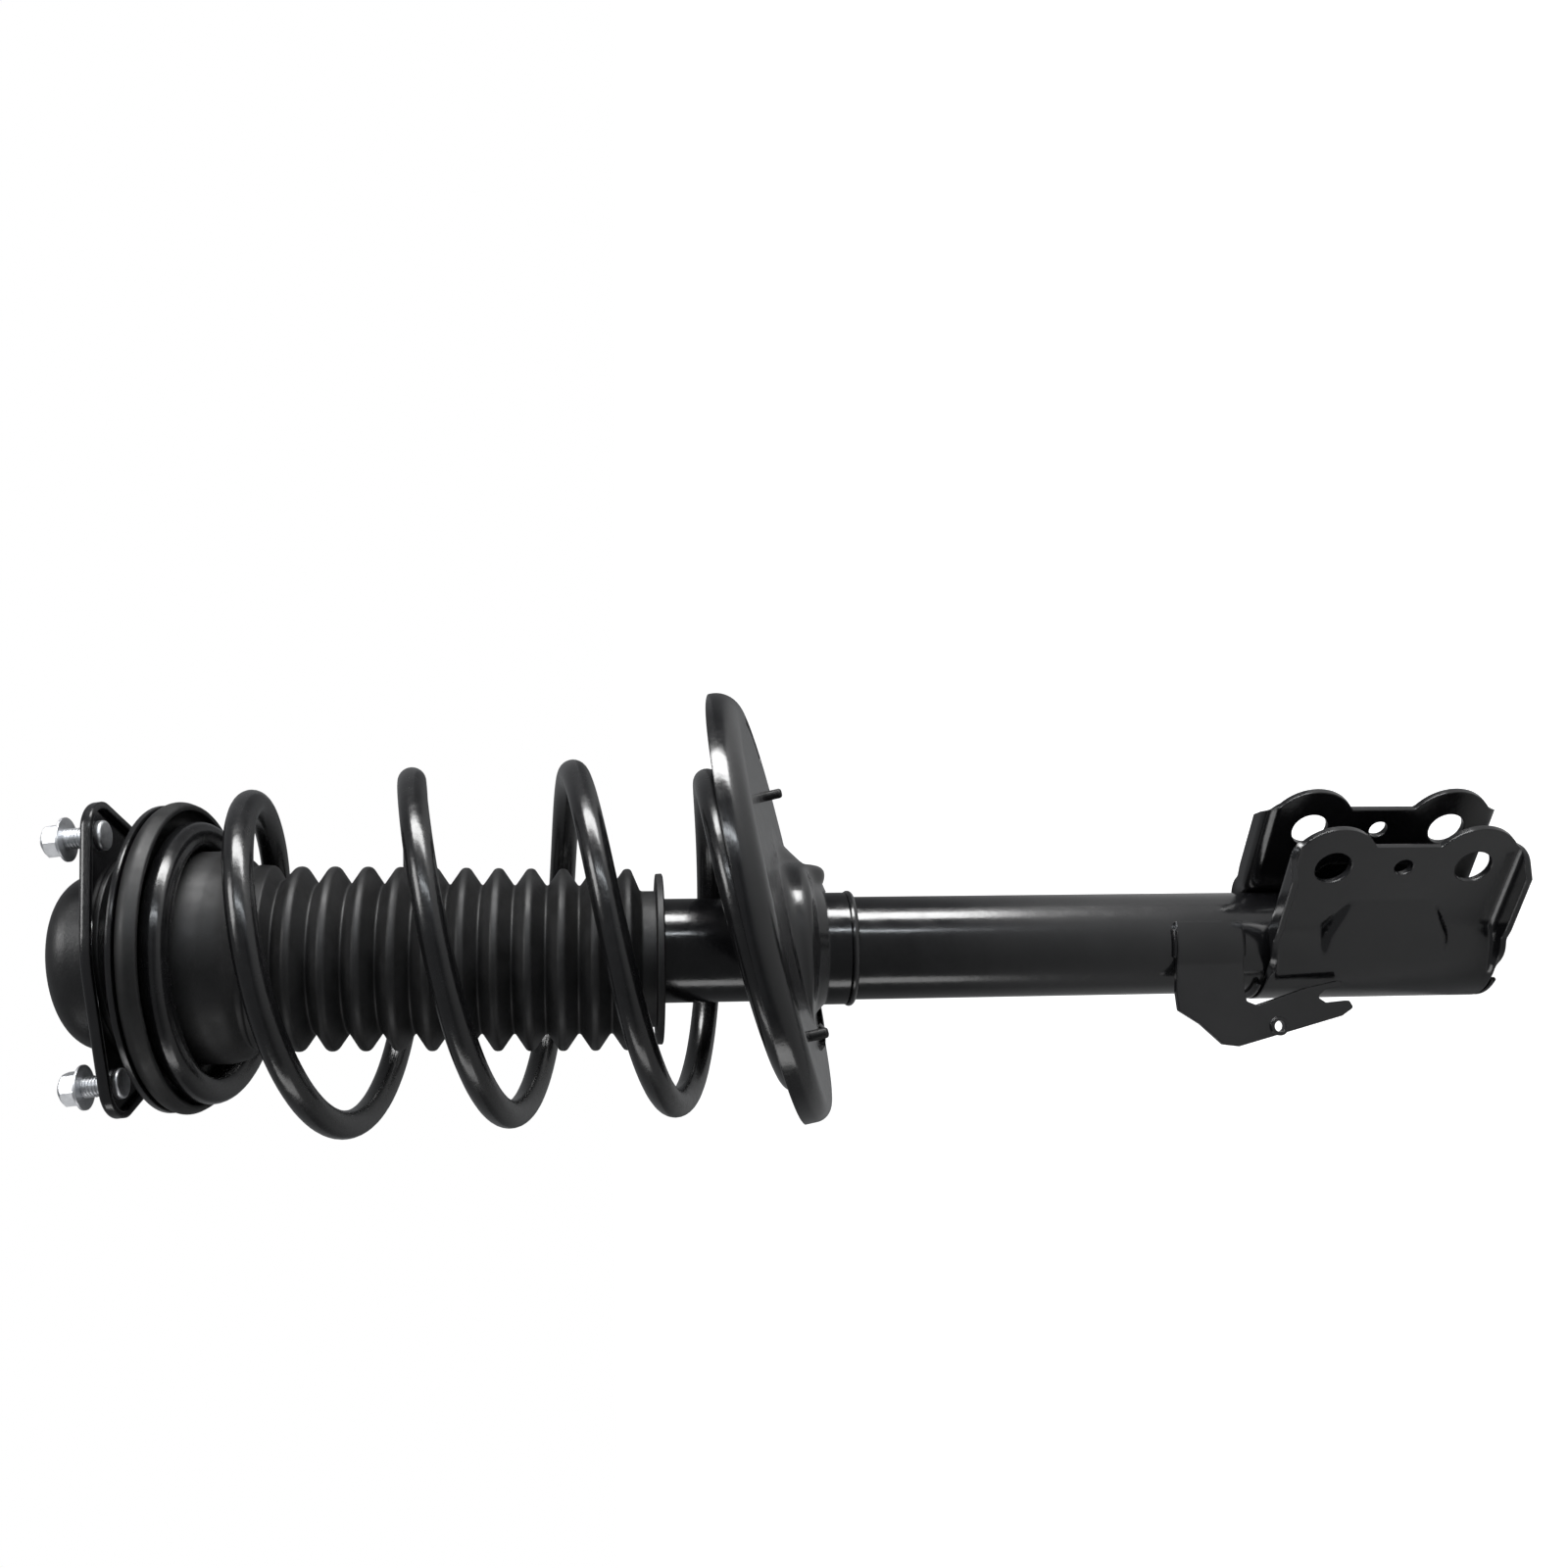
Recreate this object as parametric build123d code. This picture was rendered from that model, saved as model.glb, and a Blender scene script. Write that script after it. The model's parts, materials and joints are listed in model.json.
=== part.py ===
from build123d import *
import math
import os

# MacPherson strut with its coil spring, boot, top mount and knuckle bracket.
# Frame: +Z runs along the piston rod towards the top mount, the origin is the centre of the
# mount's stud circle on its seating face, and +X points the way the knuckle bracket's ears point.
# The strut stands at full extension. All sizes are in millimetres and all angles in degrees.

# ---- clearances ----
RUN = 0.05            # radial running clearance of anything that turns or slides
SEAT = 0.02           # gap between pieces that sit in one another
FACE_GAP = 0.3        # gap between pieces that only lie near each other
PAST = 1.0            # how far a cutting shape runs past the face it cuts
FAR = 400.0           # more than any piece's reach, for shapes that only trim others

# ---- top mount ----
MOUNT_LEAN_X = -0.169     # the mount's normal leans this much along X for 1 along Z
MOUNT_LEAN_Y = 0.047
UPPER_LEAN_X = -0.131     # and the upper spring seat's
UPPER_LEAN_Y = 0.073
STUD_COUNT = 3
STUD_CIRCLE = 130.0       # stud pitch circle diameter
STUD_CLOCK = 10.6         # angle of the first stud about Z
STUD_D = 10.0
STUD_PITCH_D = 9.03       # thread pitch diameter, where stud and nut meet
STUD_KNURL_D = 11.0          # the press-fit length inside the plate
STUD_HEAD_D = 14.0
STUD_HEAD_T = 3.0
STUD_FREE = 12.0          # plain length between seating face and nut
NUT_FLATS = 14.0
NUT_FLANGE_D = 20.5
NUT_FLANGE_T = 2.0
NUT_H = 9.5
STUD_TIP = 1.5            # how far a stud stands past its nut
PLATE_T = 3.0
PLATE_RIM = 5.5           # full depth of the plate's turned-down rim
PLATE_R = 57.0            # radius of the plate's middle
LOBE_R = 15.5             # radius round each stud
DOME_R = 42.0
DOME_H = 27.0
DOME_T = 2.5
DOME_SHOULDER = 14.0
DOME_FLANGE_R = 49.0
CAP_HOLE_R = 17.0
CAP_RISE = 3.0

# ---- bearing in the mount ----
RACE_TOP = 5.0
RACE_H = 13.0
BALL_D = 8.0
BALL_COUNT = 12
BALL_CIRCLE_R = 18.3
RACE_WALL = 5.2           # race thickness behind the balls' centres, each way
BALL_LAND = 1.6           # gap between the races beside the balls, half of it

# ---- piston rod and its fixings ----
ROD_D = 22.0
ROD_NECK_D = 14.0
ROD_TIP = 19.5
WASHER_T = 2.5
ROD_NUT_FLATS = 22.0
ROD_NUT_H = 8.5
SPACER_T = 2.5

# ---- upper spring seat ----
HUB_T = 3.0
HUB_R = 24.0
UPPER_SEAT_TOP = 17.7     # depth of the seat's top face under the mount's face
UPPER_SEAT_T = 2.5
UPPER_SEAT_R = 72.5
UPPER_PAD_OUT = 73.0
UPPER_PAD_IN = 54.0
UPPER_PAD_T = 4.0         # rubber between seat and wire
UPPER_PAD_DEPTH = 9.5     # full depth of the rubber ring's outer lip
PAD_GROOVE_GAP = 1.9      # room round the wire in the rubber ring's groove

# ---- coil spring ----
WIRE_D = 13.5
TAIL_R = 60.0             # wire centre radius of the turn under the upper seat
COIL_R = 80.8             # wire centre radius of the free turns
FOOT_R = 72.0             # wire centre radius of the turn on the lower seat
COIL_START = -1.2         # turns, counted from the first free turn's outboard top
RISE_START = -0.33        # turn at which the wire leaves the upper seat
RISE_END = 3.15           # turn at which the wire lands on the lower seat
COIL_END = 4.0
COIL_CLOCK = 40.6         # angle about Z of the wire at turn 0
COIL_OFFSET_TOP = -2.4    # the tail turn's centre along X
COIL_OFFSET_FOOT = 13.0   # the foot turn's centre along X
COIL_STEPS = 12           # path points per turn
COIL_SOFTNESS = 0.2       # turns over which the climb starts and stops

# ---- bump stop and boot ----
BUMP_TOP = -17.2
BUMP_L = 66.0
BUMP_WALL = 9.5            # foam round the rod at the top
BUMP_TIP_WALL = 5.0        # and at the tip
BUMP_WAIST = 3.0
BUMP_WAISTS = 3
BOOT_TOP = -32.2
BOOT_T = 1.8
BOOT_CUP_GAP = 0.35        # between the cup and the tail turn
BOOT_CUP_END = -49.2
BOOT_NECK_R = 43.0
BOOT_NECK_END = -58.2
BOOT_FOLDS = 12
BOOT_FIRST = -62.2        # height of the first fold's crest
BOOT_PITCH = 15.55
BOOT_CREST_R = 44.5
BOOT_VALLEY_R = 34.5
BOOT_CUFF_R = 32.8
BOOT_CUFF_L = 13.0
BOOT_END_R = 42.0
BOOT_END_T = 4.0

# ---- damper ----
TUBE_D = 51.0
TUBE_WALL = 2.5
TUBE_TOP = -208.2
TUBE_L = 457.0
LIP_W = 7.0
LIP_T = 2.5
INNER_D = 32.0
INNER_WALL = 1.6
GUIDE_H = 16.0
SEAL_H = 5.0
PISTON_DROP = 62.0        # piston face below the tube's top
PISTON_H = 18.0
BAND_H = 8.0
BAND_T = 1.2
PISTON_NECK_D = 12.0
PISTON_NUT_H = 8.0
PISTON_NUT_FLATS = 17.0
REBOUND_H = 10.0
REBOUND_WALL = 4.0
SHIM_R = 12.0
SHIM_T = 0.4
SHIM_COUNT = 4
BASE_VALVE_H = 12.0
VALVE_NOSE_H = 6.0         # the foot valve's length inside the inner tube
PORT_COUNT = 6
PORT_R = 1.4
PORT_CIRCLE_R = 10.3
CAP_T = 3.0

# ---- lower spring seat ----
SEAT_LEAN = -0.282        # the seat's normal leans this much along X for 1 along Z
SEAT_DROP = 110.0         # floor's underside on the strut's axis, below the tube's top
SEAT_EDGE_GAP = 9.45      # from the foot turn out to the dish's inboard edge
SEAT_R = 106.0
SEAT_RIM = 12.5
SEAT_T = 2.8
SEAT_CORNER = 6.0
COLLAR_T = 2.2
COLLAR_DROP = 24.0         # the collar's end below the floor
COLLAR_L = 13.0            # straight length of the collar
FUNNEL_R = 42.0
FUNNEL_RISE = 23.0         # from the collar's end up to the funnel's full radius
FUNNEL_STEP = 5.0          # width of the steep flare above the collar
FUNNEL_FLARE = 6.0         # height of that flare
NECK_SHIFT = 2.0           # how much higher the inner skin turns, to keep the wall even
LOWER_PAD_T = 3.0
LOWER_PAD_W = 20.0
PEG_D = 5.0
PEG_L = 8.0
PEG_ANGLES = (58.0, -93.0)
SLOT_W = 4.0
SLOT_INSET = 16.0         # the slots' middle line inside the dish's edge
SLOT_ANGLES = (62.0, 40.0)
SLOT_SPAN = 15.0
POCKET_ANGLE = 52.0
POCKET_R = 40.0
POCKET_SIZE = 15.0
WELD_R = 2.2
HOSE_WELD_R = 1.6
HOSE_WELD_L = 14.0

# ---- knuckle bracket ----
BRACKET_T = 3.2
EAR_GAP = 28.0
BRACKET_H = 122.0
BRACKET_PAST = 5.0        # how far the bracket stands past the tube's end
BOLT_D = 18.3
BOLT_X = 61.0
BOLT_SPACING = 72.0
BOLT_DROP = 24.5          # upper bolt below the bracket's top
SMALL_HOLE_D = 9.4
EAR_EDGE_X = 73.0
EAR_CUT = 5.0             # cut corner at the ears' lower edge
EAR_BUMP_R = 22.8         # round over each bolt
EAR_FLANGE = 12.0
FLANGE_TAPER = 12.0       # how far the lip's outer end is set back from the ear's edge
FLANGE_RUN_X = 30.0       # the lip keeps its full width from here outwards
FLANGE_FADE_X = -4.0      # and has faded into the wrap here
GUSSET_X = 40.5
GUSSET_TOP = 44.0         # length of the gusset at the ear
GUSSET_FOOT = 66.0        # and at the wrap
GUSSET_FOOT_X = 8.0
GUSSET_KNEE_X = 21.0      # the gusset starts to narrow here

# ---- brake hose bracket ----
HOSE_CLOCK = -49.4
HOSE_T = 3.0
HOSE_TAB_RISE = 46.0      # the tab's top edge above the bracket
HOSE_TAB_L = 34.0
HOSE_WRAP = 45.0          # angle of the tab round the tube
HOSE_HOLE_D = 5.5
HOSE_HOLE_DROP = 51.0     # hole below the tab's top edge
HOSE_HOLE_ACROSS = -41.5
HOSE_BOSS_W = 1.8         # raised ring round the hole
HOSE_BOSS_H = 1.2
HOSE_ARM_DROP = 22.0      # the arm's outer corner below the tab's top edge
HOSE_ARM_OUT = -51.0      # the arm's outer edge
HOSE_NECK_IN = -31.0      # the arm's inner edge
HOSE_TIP_DROP = 90.0      # the fork's tip below the tab's top edge
HOSE_FORK_W = 7.0         # the fork's slot
HOSE_FORK_DEPTH = 12.0
HOSE_ROUND = 1.2

TUBE_R = TUBE_D / 2
ROD_R = ROD_D / 2
NECK_R = ROD_NECK_D / 2
WIRE_R = WIRE_D / 2
BUMP_R = ROD_R + BUMP_WALL
BUMP_TIP_R = ROD_R + BUMP_TIP_WALL
BOOT_CUP_R = TAIL_R - WIRE_R + COIL_OFFSET_TOP - BOOT_CUP_GAP
TUBE_END = TUBE_TOP - TUBE_L
SEAT_FLOOR = TUBE_TOP - SEAT_DROP
SEAT_OFFSET = SEAT_R - (FOOT_R + WIRE_R - COIL_OFFSET_FOOT) - SEAT_EDGE_GAP
COLLAR_END = SEAT_FLOOR - COLLAR_DROP
SLOT_R = SEAT_R - SLOT_INSET
BRACKET_END = TUBE_END - BRACKET_PAST
BRACKET_TOP = BRACKET_END + BRACKET_H
BOLT_UPPER_Z = BRACKET_TOP - BOLT_DROP
HOSE_TAB_TOP = BRACKET_TOP + HOSE_TAB_RISE
STROKE_GUIDE_END = TUBE_TOP - LIP_T - SEAL_H - GUIDE_H


def ring(outer, inner, low, high):
    """A plain ring about Z."""
    body = Pos(0, 0, low) * Cylinder(outer, high - low, align=(Align.CENTER, Align.CENTER, Align.MIN))
    if inner > 0:
        bore = Pos(0, 0, low - PAST)
        bore *= Cylinder(inner, high - low + 2 * PAST, align=(Align.CENTER, Align.CENTER, Align.MIN))
        body -= bore
    return body


def turned(points):
    """A solid turned about Z from an outline of (radius, height) points."""
    return revolve(Plane.XZ * make_face(Polyline(*points, close=True)), Axis.Z)


def turned_shell(points, wall):
    """A thin turned wall: the outline gives its outer side, and the wall lies inside it."""
    inner = [(r - wall, z) for r, z in points]
    return turned(points + inner[::-1])


def polar(radius, angle, z=0.0):
    """A point at a radius and an angle about Z."""
    a = math.radians(angle)
    return (radius * math.cos(a), radius * math.sin(a), z)


def ramp(value):
    """Rises smoothly from 0 to 1."""
    t = min(max(value, 0.0), 1.0)
    return t * t * (3 - 2 * t)


def soft_step(value):
    """0 far below zero and the value itself far above, with a soft bend between."""
    return (value + math.hypot(value, COIL_SOFTNESS)) / 2


def leaning_plane(origin, lean_x, lean_y):
    """A plane whose normal leans by the given slopes."""
    normal = Vector(lean_x, lean_y, 1).normalized()
    along = Vector(1, 0, -lean_x).normalized()
    return Plane(origin=origin, x_dir=along, z_dir=normal)


def hexagon(flats, low, high):
    """A hexagonal prism about Z."""
    sides = RegularPolygon(flats / 2, side_count=6, major_radius=False)
    return Pos(0, 0, low) * extrude(sides, high - low)


MOUNT = leaning_plane((0, 0, 0), MOUNT_LEAN_X, MOUNT_LEAN_Y)
UPPER = leaning_plane((0, 0, -UPPER_SEAT_TOP), UPPER_LEAN_X, UPPER_LEAN_Y)
DISH_AXIS_Z = SEAT_FLOOR - SEAT_LEAN * SEAT_OFFSET
DISH = leaning_plane((SEAT_OFFSET, 0, DISH_AXIS_Z), SEAT_LEAN, 0)


# ================= top mount =================
def stud_spots():
    """The studs' places in the mount's own plane."""
    step = 360 / STUD_COUNT
    return [polar(STUD_CIRCLE / 2, STUD_CLOCK + step * i) for i in range(STUD_COUNT)]


def plate_outline(inset):
    """The plate's outline: a disc and a lobe round each stud, with straight runs between."""
    rounds = [Circle(PLATE_R - inset).edge()]
    rounds += [(Pos(*spot) * Circle(LOBE_R - inset)).edge() for spot in stud_spots()]
    return make_hull(rounds)


def mount_plate():
    """The stamped plate with its turned-down rim, in the mount's plane."""
    plate = Pos(0, 0, -PLATE_RIM) * extrude(plate_outline(0), PLATE_RIM)
    top_edge = plate.faces().sort_by(Axis.Z)[-1].outer_wire().edges()
    plate = fillet(top_edge, PLATE_T * 0.8)
    plate -= Pos(0, 0, -PLATE_RIM) * extrude(plate_outline(PLATE_T), PLATE_RIM - PLATE_T)
    plate -= ring(DOME_R + SEAT, 0, -PLATE_RIM, PAST)
    for spot in stud_spots():
        plate -= Pos(*spot) * ring(STUD_KNURL_D / 2 + SEAT, 0, -PLATE_RIM, PAST)
    return plate


def mount_dome():
    """The bearing housing, welded under the plate and standing through it."""
    def skin(radius, height, shoulder, low):
        block = ring(radius, 0, low, height)
        return fillet(block.faces().sort_by(Axis.Z)[-1].edges(), shoulder)

    bottom = -PLATE_T - DOME_T
    dome = skin(DOME_R, DOME_H, DOME_SHOULDER, bottom)
    dome += ring(DOME_FLANGE_R, 0, bottom, -PLATE_T)
    dome -= skin(DOME_R - DOME_T, DOME_H - DOME_T, DOME_SHOULDER - DOME_T, bottom - PAST)
    dome -= ring(CAP_HOLE_R, 0, 0, DOME_H + PAST)
    return dome


def dust_cap():
    """The cap pressed into the dome's top opening."""
    edge = CAP_HOLE_R + 2
    cap = ring(edge, 0, DOME_H, DOME_H + CAP_RISE)
    cap = fillet(cap.faces().sort_by(Axis.Z)[-1].edges(), CAP_RISE * 0.8)
    cap += ring(CAP_HOLE_R - SEAT, 0, DOME_H - DOME_T, DOME_H)
    cap -= ring(CAP_HOLE_R - 2, 0, DOME_H - DOME_T, DOME_H + CAP_RISE - 1.5)
    return cap


def mount_studs():
    """Headed studs: press-fit in the plate, thread size up to the nut, pitch size inside it."""
    head = ring(STUD_HEAD_D / 2, 0, -PLATE_T - STUD_HEAD_T, -PLATE_T)
    head = fillet(head.faces().sort_by(Axis.Z)[0].edges(), 0.8)
    stud = head + ring(STUD_KNURL_D / 2, 0, -PLATE_T, -SEAT) + ring(STUD_D / 2, 0, -SEAT, STUD_FREE)
    tip = STUD_FREE + SEAT + NUT_H + STUD_TIP
    stud += ring(STUD_PITCH_D / 2, 0, STUD_FREE, tip)
    return [Pos(*spot) * stud for spot in stud_spots()]


def mount_nuts():
    """Flanged hexagon nuts near the studs' ends."""
    low = STUD_FREE + SEAT
    flange = turned([
        (0, low), (NUT_FLANGE_D / 2, low), (NUT_FLANGE_D / 2, low + NUT_FLANGE_T * 0.5),
        (NUT_FLATS / 2, low + NUT_FLANGE_T * 1.5), (0, low + NUT_FLANGE_T * 1.5),
    ])
    corner = NUT_FLATS / math.sqrt(3)
    chamfer_cone = turned([
        (0, low), (NUT_FLANGE_D, low), (NUT_FLANGE_D, low + NUT_H * 0.4),
        (corner, low + NUT_H - 1.6), (NUT_FLATS / 2 - 0.6, low + NUT_H), (0, low + NUT_H),
    ])
    nut = (hexagon(NUT_FLATS, low, low + NUT_H) & chamfer_cone) + flange
    nut -= ring(STUD_PITCH_D / 2 + RUN, 0, low - PAST, low + NUT_H + PAST)
    return [Pos(*spot) * nut for spot in stud_spots()]


OUTER_RACE_R = BALL_CIRCLE_R + BALL_D / 2 + RACE_WALL


def mount_rubber():
    """The rubber bush between the housing, square to the mount, and the race, square to the rod."""
    high = RACE_TOP + BALL_D / 2
    bush = MOUNT * ring(DOME_R - DOME_T - SEAT, 0, 1 - PLATE_T - DOME_T, high)
    return bush - ring(OUTER_RACE_R + SEAT, 0, -FAR, FAR)


def ball_track():
    """The groove that the balls run in."""
    middle = RACE_TOP - RACE_H / 2
    return Pos(0, 0, middle) * Torus(BALL_CIRCLE_R, BALL_D / 2 + RUN)


def bearing_outer_race():
    low = RACE_TOP - RACE_H
    return ring(OUTER_RACE_R, BALL_CIRCLE_R + BALL_LAND, low, RACE_TOP) - ball_track()


def bearing_inner_race():
    low = RACE_TOP - RACE_H
    return ring(BALL_CIRCLE_R - BALL_LAND, NECK_R + SEAT, low, RACE_TOP) - ball_track()


def bearing_balls():
    middle = RACE_TOP - RACE_H / 2
    step = 360 / BALL_COUNT
    spots = [polar(BALL_CIRCLE_R, step * i, middle) for i in range(BALL_COUNT)]
    return [Pos(*spot) * Sphere(BALL_D / 2) for spot in spots]


# ================= rod, seat and spring =================
HUB_TOP = RACE_TOP - RACE_H - SPACER_T
ROD_SHOULDER = HUB_TOP - HUB_T


def spacer_collar():
    return ring(BALL_CIRCLE_R - BALL_LAND - 1, NECK_R + SEAT, HUB_TOP, HUB_TOP + SPACER_T)


def rod_washer():
    return ring(BALL_CIRCLE_R - BALL_LAND - 1, NECK_R + SEAT, RACE_TOP, RACE_TOP + WASHER_T)


def rod_nut():
    low = RACE_TOP + WASHER_T
    nut = hexagon(ROD_NUT_FLATS, low, low + ROD_NUT_H)
    return nut - ring(NECK_R + SEAT, 0, low - PAST, low + ROD_NUT_H + PAST)


PISTON_TOP = TUBE_TOP - PISTON_DROP
PISTON_END = PISTON_TOP - PISTON_H
ROD_END = PISTON_END - SHIM_COUNT * SHIM_T - PISTON_NUT_H - 2


def piston_rod():
    """Threaded neck, full-size rod and the neck that carries the piston."""
    rod = ring(NECK_R, 0, ROD_SHOULDER, ROD_TIP)
    rod += ring(ROD_R, 0, PISTON_TOP, ROD_SHOULDER)
    rod += ring(PISTON_NECK_D / 2, 0, ROD_END, PISTON_TOP)
    return chamfer(rod.faces().sort_by(Axis.Z)[-1].edges(), 1.0)


def rebound_stop():
    """The sleeve on the rod that meets the guide at full extension."""
    high = STROKE_GUIDE_END - FACE_GAP
    return ring(ROD_R + REBOUND_WALL, ROD_R + SEAT, high - REBOUND_H, high)


def port_spots():
    """The oil passages' places."""
    return [polar(PORT_CIRCLE_R, 360 / PORT_COUNT * i) for i in range(PORT_COUNT)]


def piston():
    """The piston, with a groove for its band and the oil passages."""
    bore = INNER_D / 2
    body = ring(bore - RUN * 4, PISTON_NECK_D / 2 + SEAT, PISTON_END, PISTON_TOP)
    middle = (PISTON_TOP + PISTON_END) / 2
    body -= ring(bore, bore - BAND_T, middle - BAND_H / 2, middle + BAND_H / 2)
    for spot in port_spots():
        body -= Pos(*spot) * ring(PORT_R, 0, PISTON_END - PAST, PISTON_TOP + PAST)
    return body


def piston_band():
    middle = (PISTON_TOP + PISTON_END) / 2
    outer = INNER_D / 2 - RUN
    half = BAND_H / 2 - SEAT
    return ring(outer, INNER_D / 2 - BAND_T + SEAT, middle - half, middle + half)


def valve_shims():
    """The stack of thin discs under the piston, each a little smaller than the last."""
    discs = []
    for i in range(SHIM_COUNT):
        high = PISTON_END - i * SHIM_T
        discs.append(ring(SHIM_R - i, PISTON_NECK_D / 2 + SEAT, high - SHIM_T + SEAT, high - SEAT))
    return discs


def piston_nut():
    high = PISTON_END - SHIM_COUNT * SHIM_T
    nut = hexagon(PISTON_NUT_FLATS, high - PISTON_NUT_H, high)
    return nut - ring(PISTON_NECK_D / 2 + SEAT, 0, high - PISTON_NUT_H - PAST, high + PAST)


def upper_spring_seat():
    """A steel seat that leans with the mount, on a hub that is square to the rod."""
    disc = UPPER * ring(UPPER_SEAT_R, HUB_R - 1, -UPPER_SEAT_T, 0)
    hub_end = ROD_SHOULDER - UPPER_SEAT_T - 2 * abs(UPPER_LEAN_X) * HUB_R
    hub = ring(HUB_R, 0, hub_end, HUB_TOP) - ring(HUB_R - HUB_T, 0, hub_end - 1, ROD_SHOULDER)
    hub -= UPPER * ring(2 * HUB_R, 0, -40, -UPPER_SEAT_T)
    return disc + hub - ring(NECK_R + SEAT, 0, hub_end - 1, HUB_TOP + 1)


WIRE_DEPTH = UPPER_SEAT_T + UPPER_PAD_T + WIRE_R + FACE_GAP


def upper_insulator():
    """The rubber ring between seat and spring, with a groove for the wire."""
    high = -UPPER_SEAT_T
    lip = high - UPPER_PAD_DEPTH
    outer = UPPER_PAD_OUT
    inner = UPPER_PAD_IN
    pad = turned([
        (inner, high), (outer - 1, high), (outer, high - 2), (outer, lip + 4), (outer - 3, lip),
        (TAIL_R + WIRE_R + 1, lip + 0.5), (TAIL_R + WIRE_R - 1, -WIRE_DEPTH), (inner, -WIRE_DEPTH),
    ])
    pad -= Pos(COIL_OFFSET_TOP, 0, -WIRE_DEPTH) * Torus(TAIL_R, WIRE_R + PAD_GROOVE_GAP)
    return UPPER * pad


def lean_length(lean_x, lean_y):
    """Length along Z of one unit along a leaning normal."""
    return math.hypot(1, lean_x, lean_y)


def coil_top():
    """Height of the wire's centre over the middle of the tail turn."""
    depth = WIRE_DEPTH * lean_length(UPPER_LEAN_X, UPPER_LEAN_Y)
    return -UPPER_SEAT_TOP - depth - UPPER_LEAN_X * COIL_OFFSET_TOP


def coil_foot():
    """Height of the wire's centre over the middle of the foot turn."""
    stack = SEAT_T + LOWER_PAD_T + FACE_GAP + WIRE_R
    return dish_height(COIL_OFFSET_FOOT) + stack * lean_length(SEAT_LEAN, 0)


def coil_centre(turn):
    """The wire's centre at a turn: radius, lean and height follow both seats at the ends."""
    radius = TAIL_R + (COIL_R - TAIL_R) * ramp((turn + 0.62) / 1.05)
    radius -= (COIL_R - FOOT_R) * ramp((turn - 2.45) / 0.7)
    angle = math.radians(COIL_CLOCK - 360 * turn)
    x = radius * math.cos(angle)
    y = radius * math.sin(angle)
    leave = ramp((turn + 0.3) / 1.2)
    land = ramp((turn - 2.2) / 1.1)
    lean_x = UPPER_LEAN_X * (1 - leave) + SEAT_LEAN * (leave + 2 * land) / 3
    lean_y = UPPER_LEAN_Y * (1 - leave)
    share = (soft_step(turn - RISE_START) - soft_step(turn - RISE_END)) / (RISE_END - RISE_START)
    middle = COIL_OFFSET_TOP + (COIL_OFFSET_FOOT - COIL_OFFSET_TOP) * share
    z = coil_top() + (coil_foot() - coil_top()) * share - lean_x * x - lean_y * y
    return Vector(x + middle, y, z)


def coil_spring():
    """The round wire, swept along its path."""
    count = round((COIL_END - COIL_START) * COIL_STEPS)
    turns = [COIL_START + (COIL_END - COIL_START) * i / count for i in range(count + 1)]
    path = Spline(*[coil_centre(turn) for turn in turns])
    section = Plane(origin=path @ 0, z_dir=path % 0) * Circle(WIRE_R)
    return sweep(section, path=path)


def bump_stop():
    """A tapering foam bumper on the rod, with waists."""
    outline = [(ROD_R + RUN * 4, BUMP_TOP)]
    step = BUMP_L / (2 * BUMP_WAISTS)
    outline.append((BUMP_R, BUMP_TOP))
    for i in range(1, 2 * BUMP_WAISTS):
        full = BUMP_R + (BUMP_TIP_R - BUMP_R) * i / (2 * BUMP_WAISTS)
        waist = BUMP_WAIST if i % 2 else 0.0
        outline.append((full - waist, BUMP_TOP - i * step))
    outline.append((BUMP_TIP_R - BUMP_WAIST / 2, BUMP_TOP - BUMP_L))
    outline.append((ROD_R + RUN * 4, BUMP_TOP - BUMP_L))
    return turned(outline)


def dust_boot():
    """Cup, folds, cuff and end collar as one thin wall."""
    outline = [(BOOT_CUP_R - 2, BOOT_TOP), (BOOT_CUP_R, BOOT_TOP - 4), (BOOT_CUP_R, BOOT_CUP_END + 6)]
    outline += [(BOOT_CUP_R - 4, BOOT_CUP_END), (BOOT_NECK_R - 4, BOOT_NECK_END + 2)]
    for i in range(BOOT_FOLDS):
        crest = BOOT_FIRST - i * BOOT_PITCH
        outline.append((BOOT_CREST_R, crest + 2))
        outline.append((BOOT_CREST_R, crest - 2))
        outline.append((BOOT_VALLEY_R, crest - BOOT_PITCH / 2))
    cuff_top = BOOT_FIRST - BOOT_FOLDS * BOOT_PITCH + BOOT_PITCH / 2 - 1
    outline.append((BOOT_CUFF_R, cuff_top))
    outline.append((BOOT_CUFF_R, cuff_top - BOOT_CUFF_L))
    low = cuff_top - BOOT_CUFF_L
    shell = turned_shell(outline, BOOT_T)
    return shell + ring(BOOT_END_R, BOOT_CUFF_R - BOOT_T, low - BOOT_END_T, low)


# ================= damper =================
def outer_tube():
    """The body tube, with its rolled lip at the top."""
    tube = ring(TUBE_R, TUBE_R - TUBE_WALL, TUBE_END, TUBE_TOP)
    tube += ring(TUBE_R - TUBE_WALL / 2, TUBE_R - TUBE_WALL - LIP_W, TUBE_TOP - LIP_T, TUBE_TOP)
    return tube


def rod_seal():
    high = TUBE_TOP - LIP_T
    return ring(TUBE_R - TUBE_WALL - SEAT, ROD_R + RUN, high - SEAL_H, high)


def rod_guide():
    high = TUBE_TOP - LIP_T - SEAL_H
    guide = ring(TUBE_R - TUBE_WALL - SEAT, ROD_R + RUN, high - GUIDE_H / 2, high)
    return guide + ring(INNER_D / 2 - SEAT, ROD_R + RUN, high - GUIDE_H, high - GUIDE_H / 2)


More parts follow.
